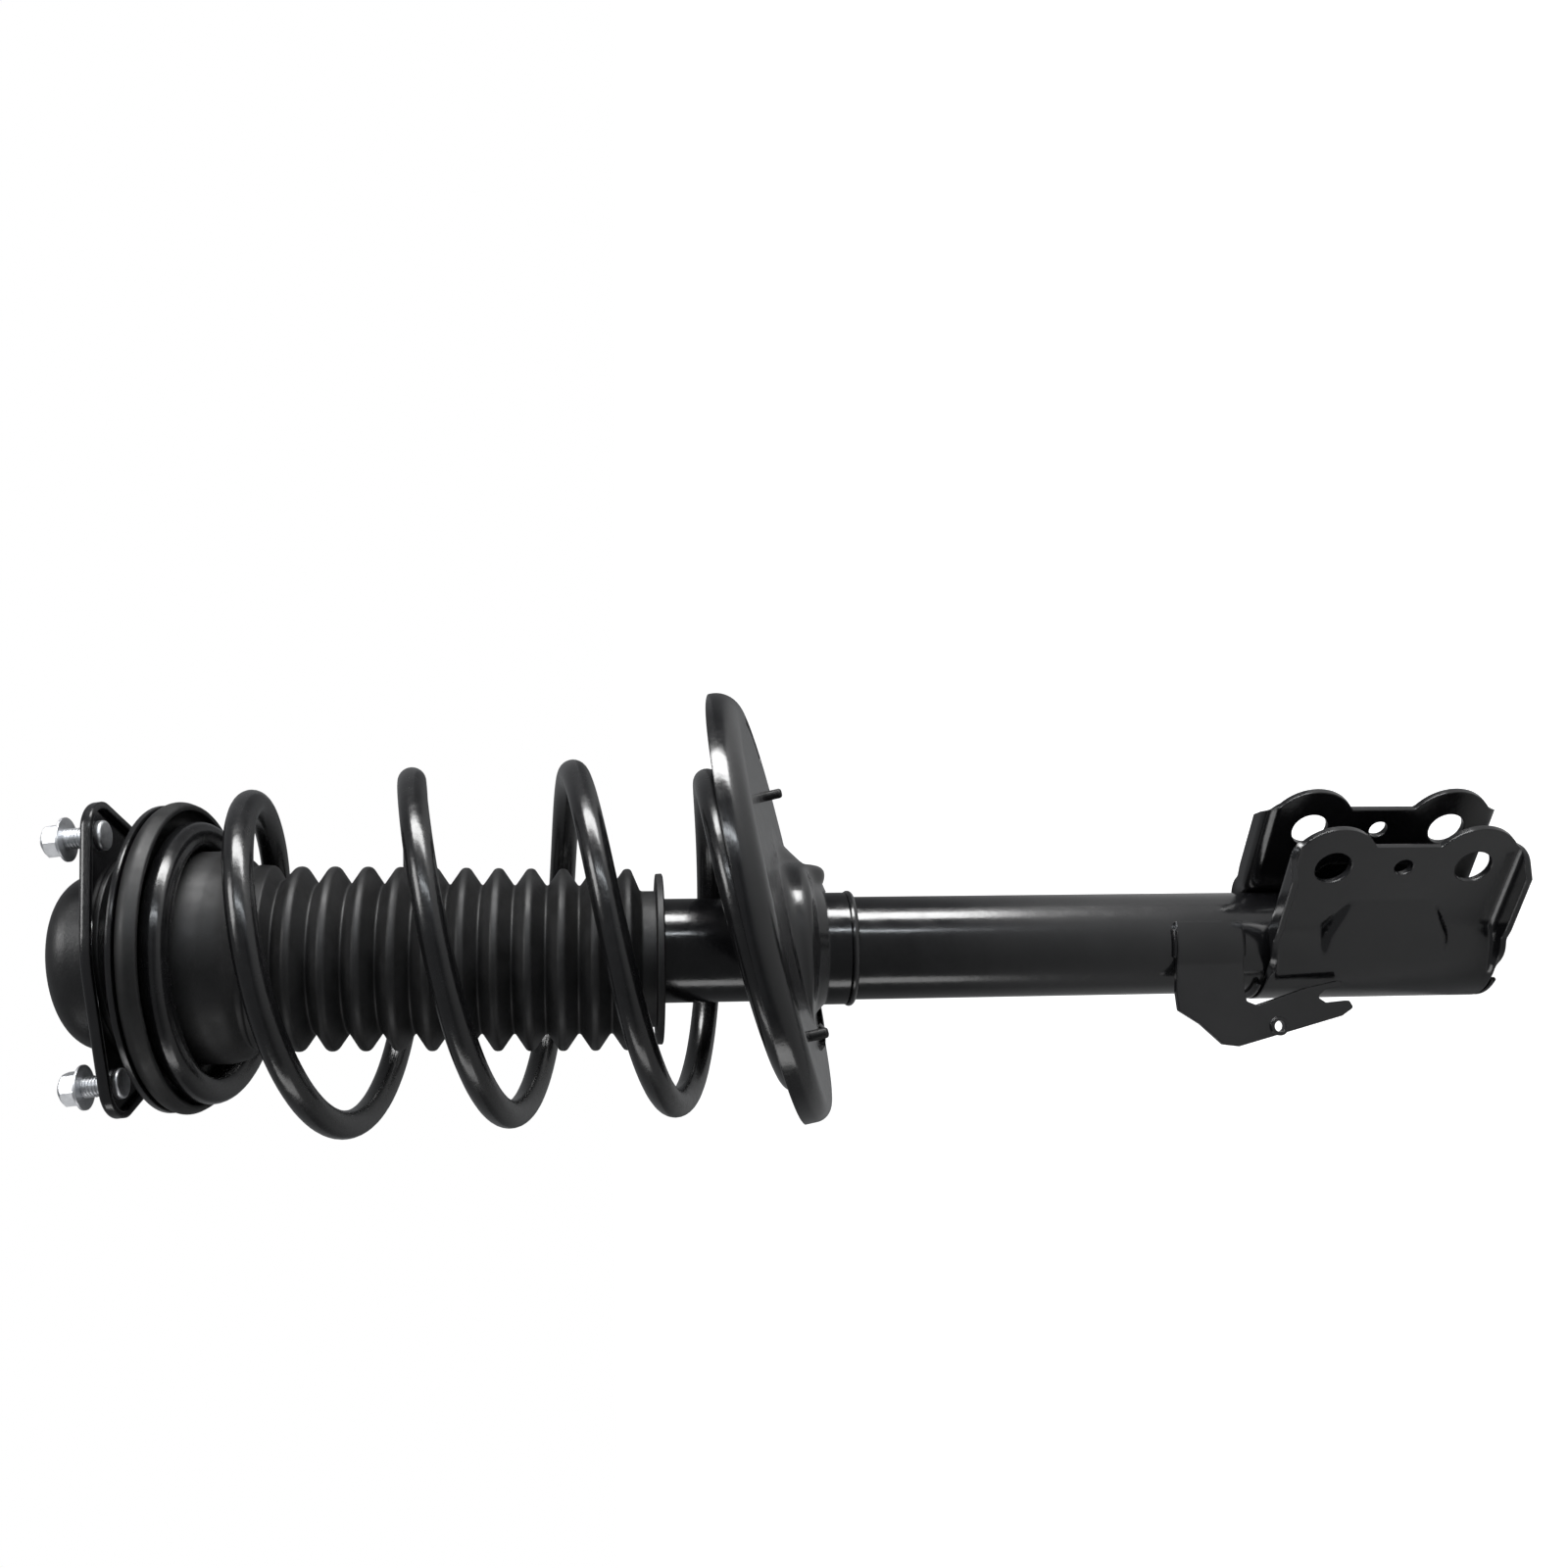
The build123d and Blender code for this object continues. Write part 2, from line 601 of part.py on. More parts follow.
def inner_tube():
    high = TUBE_TOP - LIP_T - SEAL_H - GUIDE_H / 2
    low = TUBE_END + CAP_T + BASE_VALVE_H
    return ring(INNER_D / 2 + INNER_WALL, INNER_D / 2, low, high)


def base_valve():
    """The foot valve that closes the inner tube, with its oil passages."""
    low = TUBE_END + CAP_T
    high = low + BASE_VALVE_H
    valve = ring(INNER_D / 2 + INNER_WALL, 0, low, high)
    valve += ring(INNER_D / 2 - SEAT, 0, high, high + VALVE_NOSE_H)
    for spot in port_spots():
        valve -= Pos(*spot) * ring(PORT_R, 0, low + CAP_T, high + VALVE_NOSE_H + PAST)
    return valve


def bottom_cap():
    """The cap that closes the body tube."""
    inside = TUBE_R - TUBE_WALL - SEAT
    return ring(inside, 0, TUBE_END, TUBE_END + CAP_T)


# ================= lower spring seat =================
def dish_height(x):
    """Height of the floor's underside above the point x on the X axis."""
    return SEAT_FLOOR - SEAT_LEAN * x


def lower_spring_seat():
    """An off-centre tilted dish with a rolled rim, a funnel and a collar on the tube."""
    dish = ring(SEAT_R, 0, 0, SEAT_RIM)
    dish = fillet(dish.faces().sort_by(Axis.Z)[0].edges(), SEAT_CORNER)
    hollow = ring(SEAT_R - SEAT_T, 0, SEAT_T, SEAT_RIM + PAST)
    dish -= fillet(hollow.faces().sort_by(Axis.Z)[0].edges(), SEAT_CORNER - SEAT_T)
    for angle in SLOT_ANGLES:
        dish -= curved_slot(angle)
    for peg in peg_spots():
        dish -= Pos(*peg) * ring(PEG_D / 2, 0, -PAST, SEAT_T + PAST)
    dish = DISH * dish
    dish -= ring(FUNNEL_R - SEAT_T, 0, -FAR, 0)
    return dish + funnel() + spring_pocket()


def funnel():
    """The drawn neck that runs from the dish's floor down to the collar."""
    neck = TUBE_R + COLLAR_T
    bend = COLLAR_END + COLLAR_L
    outer = turned([
        (0, COLLAR_END), (neck, COLLAR_END), (neck, bend), (neck + FUNNEL_STEP, bend + FUNNEL_FLARE),
        (FUNNEL_R, COLLAR_END + FUNNEL_RISE), (FUNNEL_R, 0), (0, 0),
    ])
    bend += NECK_SHIFT / 2
    inner = turned([
        (0, COLLAR_END - PAST), (TUBE_R, COLLAR_END - PAST), (TUBE_R, bend),
        (TUBE_R + FUNNEL_STEP, bend + FUNNEL_FLARE + NECK_SHIFT / 2),
        (FUNNEL_R - SEAT_T, COLLAR_END + FUNNEL_RISE + NECK_SHIFT), (FUNNEL_R - SEAT_T, PAST), (0, PAST),
    ])
    above = DISH * ring(2 * SEAT_R, 0, SEAT_T, FAR)
    return outer - inner - above


def spring_pocket():
    """The pressed bulge beside the funnel, hollow from above."""
    spot = polar(POCKET_R, POCKET_ANGLE, dish_height(polar(POCKET_R, POCKET_ANGLE)[0]))
    bulge = Pos(*spot) * Sphere(POCKET_SIZE)
    hollow = Pos(*spot) * Sphere(POCKET_SIZE - SEAT_T)
    above = DISH * ring(2 * SEAT_R, 0, 0, SEAT_R)
    return bulge - hollow - above - ring(FUNNEL_R - SEAT_T / 2, 0, -FAR, 0)


def curved_slot(angle):
    """A drain slot that follows the rim."""
    band = ring(SLOT_R + SLOT_W / 2, SLOT_R - SLOT_W / 2, -PAST, SEAT_T + PAST)
    reach = 2 * SEAT_R
    edge_a = polar(reach, angle - SLOT_SPAN / 2)
    edge_b = polar(reach, angle + SLOT_SPAN / 2)
    wedge = make_face(Polyline((0, 0), edge_a[:2], edge_b[:2], close=True))
    return band & Pos(0, 0, -PAST) * extrude(wedge, SEAT_T + 2 * PAST)


def foot_centre():
    """The foot turn's centre in the dish's own plane."""
    return (COIL_OFFSET_FOOT - SEAT_OFFSET) * lean_length(SEAT_LEAN, 0)


def peg_spots():
    """Where the insulator's pegs pass through the dish's floor."""
    spots = []
    for angle in PEG_ANGLES:
        x, y, z = polar(FOOT_R, angle)
        spots.append((x + foot_centre(), y, z))
    return spots


def lower_insulator():
    """The rubber pad under the foot turn, with pegs through the floor."""
    half = LOWER_PAD_W / 2
    pad = ring(FOOT_R + half, FOOT_R - half, SEAT_T + SEAT, SEAT_T + LOWER_PAD_T)
    pad = Pos(foot_centre(), 0, 0) * pad
    for peg in peg_spots():
        pin = ring(PEG_D / 2 - SEAT, 0, -PEG_L, SEAT_T + LOWER_PAD_T)
        pad += Pos(*peg) * fillet(pin.faces().sort_by(Axis.Z)[0].edges(), PEG_D * 0.3)
    return DISH * pad


def collar_weld():
    """The bead that joins the collar to the tube."""
    bead = Pos(0, 0, COLLAR_END) * Torus(TUBE_R + WELD_R * 0.4, WELD_R)
    return bead - ring(TUBE_R, 0, -FAR, 0) - lower_spring_seat()


# ================= knuckle bracket =================
BRACKET_MID = (BRACKET_TOP + BRACKET_END) / 2
EAR_OUT = EAR_GAP / 2 + BRACKET_T
BOLT_LOWER_Z = BOLT_UPPER_Z - BOLT_SPACING


def wrap_section(radius, half_gap, reach):
    """A round that is open along +X, where it runs into two flat ears."""
    return Circle(radius) + Pos(reach / 2, 0) * Rectangle(reach, 2 * half_gap)


def ear_outline():
    """The ears' side view in XZ: straight edges and a round over each bolt."""
    high = BRACKET_TOP
    low = BRACKET_END
    back = -2 * TUBE_R
    body = make_face(Polyline(
        (back, low), (EAR_EDGE_X - EAR_CUT, low), (EAR_EDGE_X, low + EAR_CUT), (EAR_EDGE_X, high),
        (back, high), close=True,
    ))
    for z in (BOLT_UPPER_Z, BOLT_LOWER_Z):
        bump = Pos(BOLT_X, z) * Circle(EAR_BUMP_R)
        body += bump & Pos(0, BRACKET_MID) * Rectangle(FAR, high - low)
    return body


def gusset(inset):
    """The pressed bulge on each ear, from the wrap out to the ear's flat."""
    wide = TUBE_R + BRACKET_T - inset
    flat = EAR_OUT - inset
    foot = make_face(Polyline(
        (GUSSET_FOOT_X, 0), (GUSSET_FOOT_X, wide - BRACKET_T / 4), (GUSSET_X - inset, flat),
        (GUSSET_X - inset, 0), close=True,
    ))
    block = Pos(0, 0, BRACKET_MID - GUSSET_FOOT / 2) * extrude(foot, GUSSET_FOOT)
    slope = (GUSSET_FOOT - GUSSET_TOP) / 2
    low = BRACKET_MID - GUSSET_FOOT / 2 + inset
    high = BRACKET_MID + GUSSET_FOOT / 2 - inset
    keep = make_face(Polyline(
        (0, low), (GUSSET_KNEE_X, low), (GUSSET_X, low + slope),
        (GUSSET_X, high - slope), (GUSSET_KNEE_X, high), (0, high), close=True,
    ))
    block &= extrude(Plane.XZ * keep, FAR, both=True)
    return block + mirror(block, Plane.XZ)


def end_flange(z):
    """The outward lip on both ears at one end of the bracket, fading out round the wrap."""
    wide = EAR_OUT + EAR_FLANGE
    wrap = TUBE_R + BRACKET_T
    lip = make_face(Polyline(
        (EAR_EDGE_X - BRACKET_T, EAR_GAP / 2), (EAR_EDGE_X - FLANGE_TAPER, wide), (FLANGE_RUN_X, wide),
        (FLANGE_FADE_X, wrap + BRACKET_T / 2), (FLANGE_FADE_X, TUBE_R), (TUBE_R - 5, EAR_GAP / 2 + 2),
        close=True,
    ))
    lip -= Circle(TUBE_R)
    plate = Pos(0, 0, z) * extrude(lip, BRACKET_T)
    return plate + mirror(plate, Plane.XZ)


def knuckle_bracket():
    """The U-shaped bracket: wrap, two ears, gussets and end lips, with its bolt holes."""
    length = BRACKET_TOP - BRACKET_END
    outer = wrap_section(TUBE_R + BRACKET_T, EAR_OUT, FAR)
    inner = wrap_section(TUBE_R, EAR_GAP / 2, FAR + PAST)
    solid = Pos(0, 0, BRACKET_END) * extrude(outer, length)
    solid += gusset(0)
    solid += end_flange(BRACKET_TOP - BRACKET_T)
    solid += end_flange(BRACKET_END)
    hollow = Pos(0, 0, BRACKET_END - PAST) * extrude(inner, length + 2 * PAST)
    solid -= hollow
    solid -= gusset(BRACKET_T)
    solid &= extrude(Plane.XZ * ear_outline(), FAR, both=True)
    across = Rot(90, 0, 0)
    for z in (BOLT_UPPER_Z, BOLT_LOWER_Z):
        solid -= Pos(BOLT_X, 0, z) * across * Cylinder(BOLT_D / 2, FAR)
    middle = (BOLT_UPPER_Z + BOLT_LOWER_Z) / 2
    return solid - Pos(BOLT_X, 0, middle) * across * Cylinder(SMALL_HOLE_D / 2, FAR)


def bracket_welds():
    """Beads between the tube and the wrap's two ends, on the closed side."""
    beads = []
    for z in (BRACKET_TOP + WELD_R * 0.4, BRACKET_END - WELD_R * 0.4):
        bead = Pos(0, 0, z) * Torus(TUBE_R + WELD_R * 0.4, WELD_R)
        bead &= Pos(-FAR / 2 + FLANGE_FADE_X, 0, z) * Box(FAR, FAR, FAR)
        bead -= ring(TUBE_R, 0, -2 * FAR, 0)
        bead -= Pos(0, 0, BRACKET_MID) * Cylinder(FAR, BRACKET_TOP - BRACKET_END)
        beads.append(bead)
    return beads


# ================= brake hose bracket =================
def hose_plane():
    """Plate plane: x runs across the strut, y runs up the strut, z points outwards."""
    out = Vector(*polar(1, HOSE_CLOCK))
    across = Vector(*polar(1, HOSE_CLOCK + 90))
    return Plane(origin=(0, 0, 0), x_dir=across, z_dir=out)


def hose_outline():
    """The plate's outline, from the tab down to the forked hook."""
    top = HOSE_TAB_TOP
    low = top - HOSE_TAB_L
    arm = top - HOSE_ARM_DROP
    tip = top - HOSE_TIP_DROP
    slot = tip + HOSE_FORK_DEPTH + 2
    fork = HOSE_NECK_IN + HOSE_FORK_W
    outline = Polyline(
        (-10, top), (-24, top + 1), (-33, top), (-40, (top + arm) / 2), (HOSE_ARM_OUT + 1, arm),
        (HOSE_ARM_OUT, arm - 8), (HOSE_NECK_IN - 6, tip + 6), (HOSE_NECK_IN - 2, tip),
        (HOSE_NECK_IN + 1.5, tip + 2), (HOSE_NECK_IN + 0.5, slot), (fork - 3.5, slot + 4.5),
        (fork + 0.2, slot), (fork + 1.5, tip + 5), (fork + 4.5, tip + 6), (fork + 1, tip + 24),
        (fork - 4, tip + 40), (HOSE_NECK_IN, tip + 50), (HOSE_NECK_IN + 2, low - 1),
        (HOSE_NECK_IN + 7, low), (-10, low), close=True,
    )
    return make_face(outline)


def hose_bracket():
    """A tab curved round the tube and a flat forked plate that leaves it tangentially."""
    rise = TUBE_R * math.cos(math.radians(HOSE_WRAP / 2))
    plate = extrude(hose_outline(), HOSE_T)
    plate = fillet(plate.edges().filter_by(Axis.Z), HOSE_ROUND)
    hole = Pos(HOSE_HOLE_ACROSS, HOSE_TAB_TOP - HOSE_HOLE_DROP)
    plate += hole * ring(HOSE_HOLE_D / 2 + HOSE_BOSS_W, 0, 0, HOSE_T + HOSE_BOSS_H)
    plate -= hole * ring(HOSE_HOLE_D / 2, 0, -PAST, HOSE_T + HOSE_BOSS_H + PAST)
    plate = hose_plane() * (Pos(0, 0, rise) * plate)
    plate -= ring(TUBE_R + SEAT, 0, -2 * FAR, 0)
    tab = ring(TUBE_R + HOSE_T, TUBE_R + SEAT, HOSE_TAB_TOP - HOSE_TAB_L, HOSE_TAB_TOP)
    reach = 4 * TUBE_R
    edge_a = polar(reach, HOSE_CLOCK - HOSE_WRAP / 2)
    edge_b = polar(reach, HOSE_CLOCK + HOSE_WRAP / 2)
    wedge = make_face(Polyline((0, 0), edge_a[:2], edge_b[:2], close=True))
    tab &= Pos(0, 0, HOSE_TAB_TOP - HOSE_TAB_L) * extrude(wedge, HOSE_TAB_L)
    return plate + tab


def hose_weld():
    """Two short beads along the tab's ends."""
    beads = []
    for z in (HOSE_TAB_TOP, HOSE_TAB_TOP - HOSE_TAB_L):
        bead = Pos(0, 0, z) * Torus(TUBE_R + HOSE_WELD_R * 0.6, HOSE_WELD_R)
        x, y, _ = polar(TUBE_R, HOSE_CLOCK)
        bead &= Pos(x, y, z) * Rot(0, 0, HOSE_CLOCK) * Box(TUBE_R, HOSE_WELD_L, HOSE_WELD_L)
        bead -= ring(TUBE_R, 0, -2 * FAR, 0)
        middle = HOSE_TAB_TOP - HOSE_TAB_L / 2
        bead -= Pos(0, 0, middle) * Cylinder(FAR, HOSE_TAB_L)
        beads.append(bead)
    return beads


# ================= export =================
def whole(shapes):
    """One compound of separate solids."""
    solids = []
    for shape in shapes:
        solids += list(shape.solids())
    return Compound(children=solids)


NODES = {
    "mount_plate": lambda: [MOUNT * mount_plate()],
    "mount_dome": lambda: [MOUNT * mount_dome()],
    "dust_cap": lambda: [MOUNT * dust_cap()],
    "mount_studs": lambda: [MOUNT * stud for stud in mount_studs()],
    "mount_nuts": lambda: [MOUNT * nut for nut in mount_nuts()],
    "mount_rubber": lambda: [mount_rubber()],
    "bearing_outer_race": lambda: [bearing_outer_race()],
    "bearing_inner_race": lambda: [bearing_inner_race()],
    "bearing_balls": bearing_balls,
    "spacer_collar": lambda: [spacer_collar()],
    "rod_washer": lambda: [rod_washer()],
    "rod_nut": lambda: [rod_nut()],
    "piston_rod": lambda: [piston_rod()],
    "rebound_stop": lambda: [rebound_stop()],
    "piston": lambda: [piston()],
    "piston_band": lambda: [piston_band()],
    "valve_shims": valve_shims,
    "piston_nut": lambda: [piston_nut()],
    "upper_spring_seat": lambda: [upper_spring_seat()],
    "upper_insulator": lambda: [upper_insulator()],
    "coil_spring": lambda: [coil_spring()],
    "bump_stop": lambda: [bump_stop()],
    "dust_boot": lambda: [dust_boot()],
    "outer_tube": lambda: [outer_tube()],
    "rod_seal": lambda: [rod_seal()],
    "rod_guide": lambda: [rod_guide()],
    "inner_tube": lambda: [inner_tube()],
    "base_valve": lambda: [base_valve()],
    "bottom_cap": lambda: [bottom_cap()],
    "lower_spring_seat": lambda: [lower_spring_seat()],
    "lower_insulator": lambda: [lower_insulator()],
    "collar_weld": lambda: [collar_weld()],
    "knuckle_bracket": lambda: [knuckle_bracket()],
    "bracket_welds": bracket_welds,
    "hose_bracket": lambda: [hose_bracket()],
    "hose_weld": hose_weld,
}

os.makedirs("parts", exist_ok=True)
for name, make in NODES.items():
    export_step(whole(make()), f"parts/{name}.step")
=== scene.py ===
import json
import math

import bpy
import numpy as np
from mathutils import Matrix, Vector


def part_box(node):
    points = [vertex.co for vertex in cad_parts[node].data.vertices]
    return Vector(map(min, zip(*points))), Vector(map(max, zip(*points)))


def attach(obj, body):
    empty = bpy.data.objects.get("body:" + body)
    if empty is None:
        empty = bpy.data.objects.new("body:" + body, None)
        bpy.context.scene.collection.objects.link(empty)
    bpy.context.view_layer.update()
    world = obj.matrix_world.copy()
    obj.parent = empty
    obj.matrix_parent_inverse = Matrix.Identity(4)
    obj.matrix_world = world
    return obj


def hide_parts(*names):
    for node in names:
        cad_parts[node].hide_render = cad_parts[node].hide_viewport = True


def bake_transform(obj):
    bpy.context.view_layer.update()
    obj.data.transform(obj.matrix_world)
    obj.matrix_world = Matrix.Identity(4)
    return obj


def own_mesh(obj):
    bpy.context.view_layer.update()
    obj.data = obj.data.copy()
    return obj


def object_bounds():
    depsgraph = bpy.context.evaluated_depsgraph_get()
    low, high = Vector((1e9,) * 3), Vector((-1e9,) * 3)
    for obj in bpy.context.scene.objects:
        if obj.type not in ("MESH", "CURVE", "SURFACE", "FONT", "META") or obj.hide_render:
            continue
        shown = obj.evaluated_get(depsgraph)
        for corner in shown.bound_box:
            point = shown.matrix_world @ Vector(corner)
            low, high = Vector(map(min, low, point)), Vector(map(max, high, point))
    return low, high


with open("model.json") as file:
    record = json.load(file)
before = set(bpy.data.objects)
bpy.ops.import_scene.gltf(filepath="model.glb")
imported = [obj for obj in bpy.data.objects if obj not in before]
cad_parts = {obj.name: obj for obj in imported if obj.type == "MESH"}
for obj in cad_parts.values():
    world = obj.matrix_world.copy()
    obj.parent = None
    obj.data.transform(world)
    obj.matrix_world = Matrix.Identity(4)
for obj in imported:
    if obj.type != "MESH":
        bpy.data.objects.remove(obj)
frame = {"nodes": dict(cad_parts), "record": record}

CAD_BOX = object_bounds()
NODES = frame["nodes"]
MM = 0.001


# ================= materials =================
def tree_of(name):
    """A new node material with one Principled shader: (material, nodes, links, shader)."""
    mat = bpy.data.materials.new(name)
    mat.use_nodes = True
    nodes, links = mat.node_tree.nodes, mat.node_tree.links
    return mat, nodes, links, nodes["Principled BSDF"]


def noise(nodes, links, place, scale, detail, rough):
    """A noise value over the piece; a larger scale makes finer grain."""
    node = nodes.new("ShaderNodeTexNoise")
    node.inputs["Scale"].default_value = scale
    node.inputs["Detail"].default_value = detail
    node.inputs["Roughness"].default_value = rough
    links.new(place, node.inputs["Vector"])
    return node.outputs["Fac"]


def spread(nodes, links, fac, low, high, start=0.3, end=0.7):
    """Maps a noise value to a range."""
    node = nodes.new("ShaderNodeMapRange")
    node.inputs["From Min"].default_value = start
    node.inputs["From Max"].default_value = end
    node.inputs["To Min"].default_value = low
    node.inputs["To Max"].default_value = high
    links.new(fac, node.inputs["Value"])
    return node.outputs["Result"]


def tint(nodes, links, fac, dark, light, start=0.35, end=0.65):
    """Maps a noise value to a colour between dark and light."""
    node = nodes.new("ShaderNodeValToRGB")
    node.color_ramp.elements[0].position = start
    node.color_ramp.elements[0].color = (*dark, 1)
    node.color_ramp.elements[1].position = end
    node.color_ramp.elements[1].color = (*light, 1)
    links.new(fac, node.inputs["Fac"])
    return node.outputs["Color"]


def bumps(nodes, links, shader, layers, edge=0.0):
    """Stacks bump layers, (height output, strength, distance in metres), on softened edges."""
    normal = None
    if edge > 0:
        soft = nodes.new("ShaderNodeBevel")
        soft.samples = 6
        soft.inputs["Radius"].default_value = edge
        normal = soft.outputs["Normal"]
    for height, strength, distance in layers:
        node = nodes.new("ShaderNodeBump")
        node.inputs["Strength"].default_value = strength
        node.inputs["Distance"].default_value = distance
        links.new(height, node.inputs["Height"])
        if normal is not None:
            links.new(normal, node.inputs["Normal"])
        normal = node.outputs["Normal"]
    links.new(normal, shader.inputs["Normal"])


def coat(name, dark, light, rough, peel, peel_size, specular=0.5, layer=0.0, edge=0.0014):
    """Electro-dipped or powder coat: cloudy tone, orange peel, uneven gloss."""
    mat, nodes, links, shader = tree_of(name)
    place = nodes.new("ShaderNodeTexCoord").outputs["Object"]
    cloud = noise(nodes, links, place, 38, 5, 0.6)
    links.new(tint(nodes, links, cloud, dark, light), shader.inputs["Base Color"])
    smear = noise(nodes, links, place, 150, 6, 0.7)
    links.new(spread(nodes, links, smear, *rough), shader.inputs["Roughness"])
    fine = noise(nodes, links, place, 1 / peel_size, 2, 0.5)
    wave = noise(nodes, links, place, 60, 1, 0.5)
    bumps(nodes, links, shader, [(wave, 0.10, 0.0010), (fine, peel, 0.0002)], edge)
    shader.inputs["Specular IOR Level"].default_value = specular
    shader.inputs["Coat Weight"].default_value = layer
    shader.inputs["Coat Roughness"].default_value = 0.12
    return mat


def rubber(name, dark, light, rough, grain_size, grain):
    """Moulded rubber: fine grain, cloudy bloom, matt sheen."""
    mat, nodes, links, shader = tree_of(name)
    place = nodes.new("ShaderNodeTexCoord").outputs["Object"]
    cloud = noise(nodes, links, place, 55, 6, 0.65)
    links.new(tint(nodes, links, cloud, dark, light), shader.inputs["Base Color"])
    patch = noise(nodes, links, place, 90, 4, 0.6)
    links.new(spread(nodes, links, patch, *rough), shader.inputs["Roughness"])
    fine = noise(nodes, links, place, 1 / grain_size, 3, 0.6)
    wave = noise(nodes, links, place, 120, 2, 0.5)
    bumps(nodes, links, shader, [(wave, 0.12, 0.0006), (fine, grain, 0.00015)])
    shader.inputs["Specular IOR Level"].default_value = 0.42
    return mat


def metal(name, dark, light, rough, streak=(1, 1, 1), grain_size=0.0008, grain=0.2):
    """Plated or machined metal: cloudy plating, fine streaks."""
    mat, nodes, links, shader = tree_of(name)
    place = nodes.new("ShaderNodeTexCoord").outputs["Object"]
    stretch = nodes.new("ShaderNodeMapping")
    stretch.inputs["Scale"].default_value = streak
    links.new(place, stretch.inputs["Vector"])
    cloud = noise(nodes, links, place, 160, 5, 0.65)
    links.new(tint(nodes, links, cloud, dark, light), shader.inputs["Base Color"])
    line = noise(nodes, links, stretch.outputs["Vector"], 1 / grain_size, 4, 0.6)
    links.new(spread(nodes, links, line, *rough), shader.inputs["Roughness"])
    bumps(nodes, links, shader, [(cloud, 0.1, 0.0004), (line, grain, 0.00008)], 0.0004)
    shader.inputs["Metallic"].default_value = 1.0
    return mat


LOOKS = {
    "black_coat": coat("black_coat", (0.0025, 0.0025, 0.003), (0.006, 0.006, 0.0066), (0.13, 0.24),
                       0.22, 0.0022, 0.5, 0.3),
    "satin_coat": coat("satin_coat", (0.006, 0.006, 0.0065), (0.012, 0.012, 0.0125), (0.34, 0.46),
                       0.4, 0.0012, 0.45),
    "spring_coat": coat("spring_coat", (0.003, 0.003, 0.0034), (0.007, 0.007, 0.0075), (0.18, 0.3),
                        0.35, 0.0026, 0.5, 0.2, 0.0),
    "zinc": metal("zinc", (0.60, 0.61, 0.63), (0.80, 0.81, 0.83), (0.36, 0.5)),
    "rubber": rubber("rubber", (0.004, 0.004, 0.004), (0.010, 0.010, 0.010), (0.42, 0.6), 0.0007, 0.3),
    "boot_rubber": rubber("boot_rubber", (0.005, 0.005, 0.005), (0.011, 0.011, 0.0115), (0.44, 0.6),
                          0.0009, 0.3),
    "foam": rubber("foam", (0.42, 0.36, 0.2), (0.58, 0.5, 0.32), (0.75, 0.9), 0.0015, 0.6),
    "bearing_steel": metal("bearing_steel", (0.45, 0.45, 0.46), (0.62, 0.62, 0.63), (0.12, 0.28)),
    "chrome_rod": metal("chrome_rod", (0.72, 0.73, 0.75), (0.82, 0.83, 0.85), (0.03, 0.09),
                        (1, 1, 6), 0.0005, 0.1),
    "sintered_iron": metal("sintered_iron", (0.2, 0.2, 0.2), (0.32, 0.31, 0.3), (0.45, 0.65),
                           (1, 1, 1), 0.0006, 0.5),
    "band_plastic": rubber("band_plastic", (0.03, 0.025, 0.02), (0.05, 0.042, 0.034), (0.4, 0.5),
                           0.0012, 0.2),
}
SLOT_OF = {row["node"]: row["material_slot"] for row in frame["record"]["subparts"]}
for node, obj in NODES.items():
    obj.data.materials.clear()
    obj.data.materials.append(LOOKS[SLOT_OF[node]])


# ================= mesh helpers =================
def piece(name, verts, faces, slot):
    """A smooth mesh object with the look of its material slot."""
    mesh = bpy.data.meshes.new(name)
    mesh.from_pydata([tuple(v) for v in verts], [], faces)
    mesh.update()
    obj = bpy.data.objects.new(name, mesh)
    bpy.context.scene.collection.objects.link(obj)
    mesh.materials.append(LOOKS[slot])
    for face in mesh.polygons:
        face.use_smooth = True
    return obj


def tube_faces(rings, around, closed_ends=True):
    """Quads between rings of points, with one many-sided cap at each end."""
    faces = []
    for i in range(rings - 1):
        for j in range(around):
            k = (j + 1) % around
            faces.append((i * around + j, i * around + k, (i + 1) * around + k, (i + 1) * around + j))
    if closed_ends:
        faces.append(tuple(reversed(range(around))))
        faces.append(tuple(range((rings - 1) * around, rings * around)))
    return faces


def bake(obj):
    """Turns the modifiers into plain mesh and keeps true edges sharp."""
    graph = bpy.context.evaluated_depsgraph_get()
    mesh = bpy.data.meshes.new_from_object(obj.evaluated_get(graph))
    obj.modifiers.clear()
    obj.data = mesh
    mesh.set_sharp_from_angle(angle=math.radians(38))


def ramp(value):
    """0 to 1 with soft ends."""
    t = min(max(value, 0.0), 1.0)
    return t * t * (3 - 2 * t)


def soft_step(value):
    """Nearly the larger of value and 0, with a soft start."""
    return (value + math.hypot(value, 0.2)) / 2


# ================= coil spring =================
# Lengths are in mm. A lean is how far a face's normal tips along X and Y for 1 along Z.
WIRE_R = 6.75
TAIL_R, COIL_R, FOOT_R = 60.0, 80.8, 72.0
# along the wire, in turns: its two ends, and where it leaves the upper seat and lands on the lower one
START, RISE_START, RISE_END, END = -1.2, -0.33, 3.15, 4.0
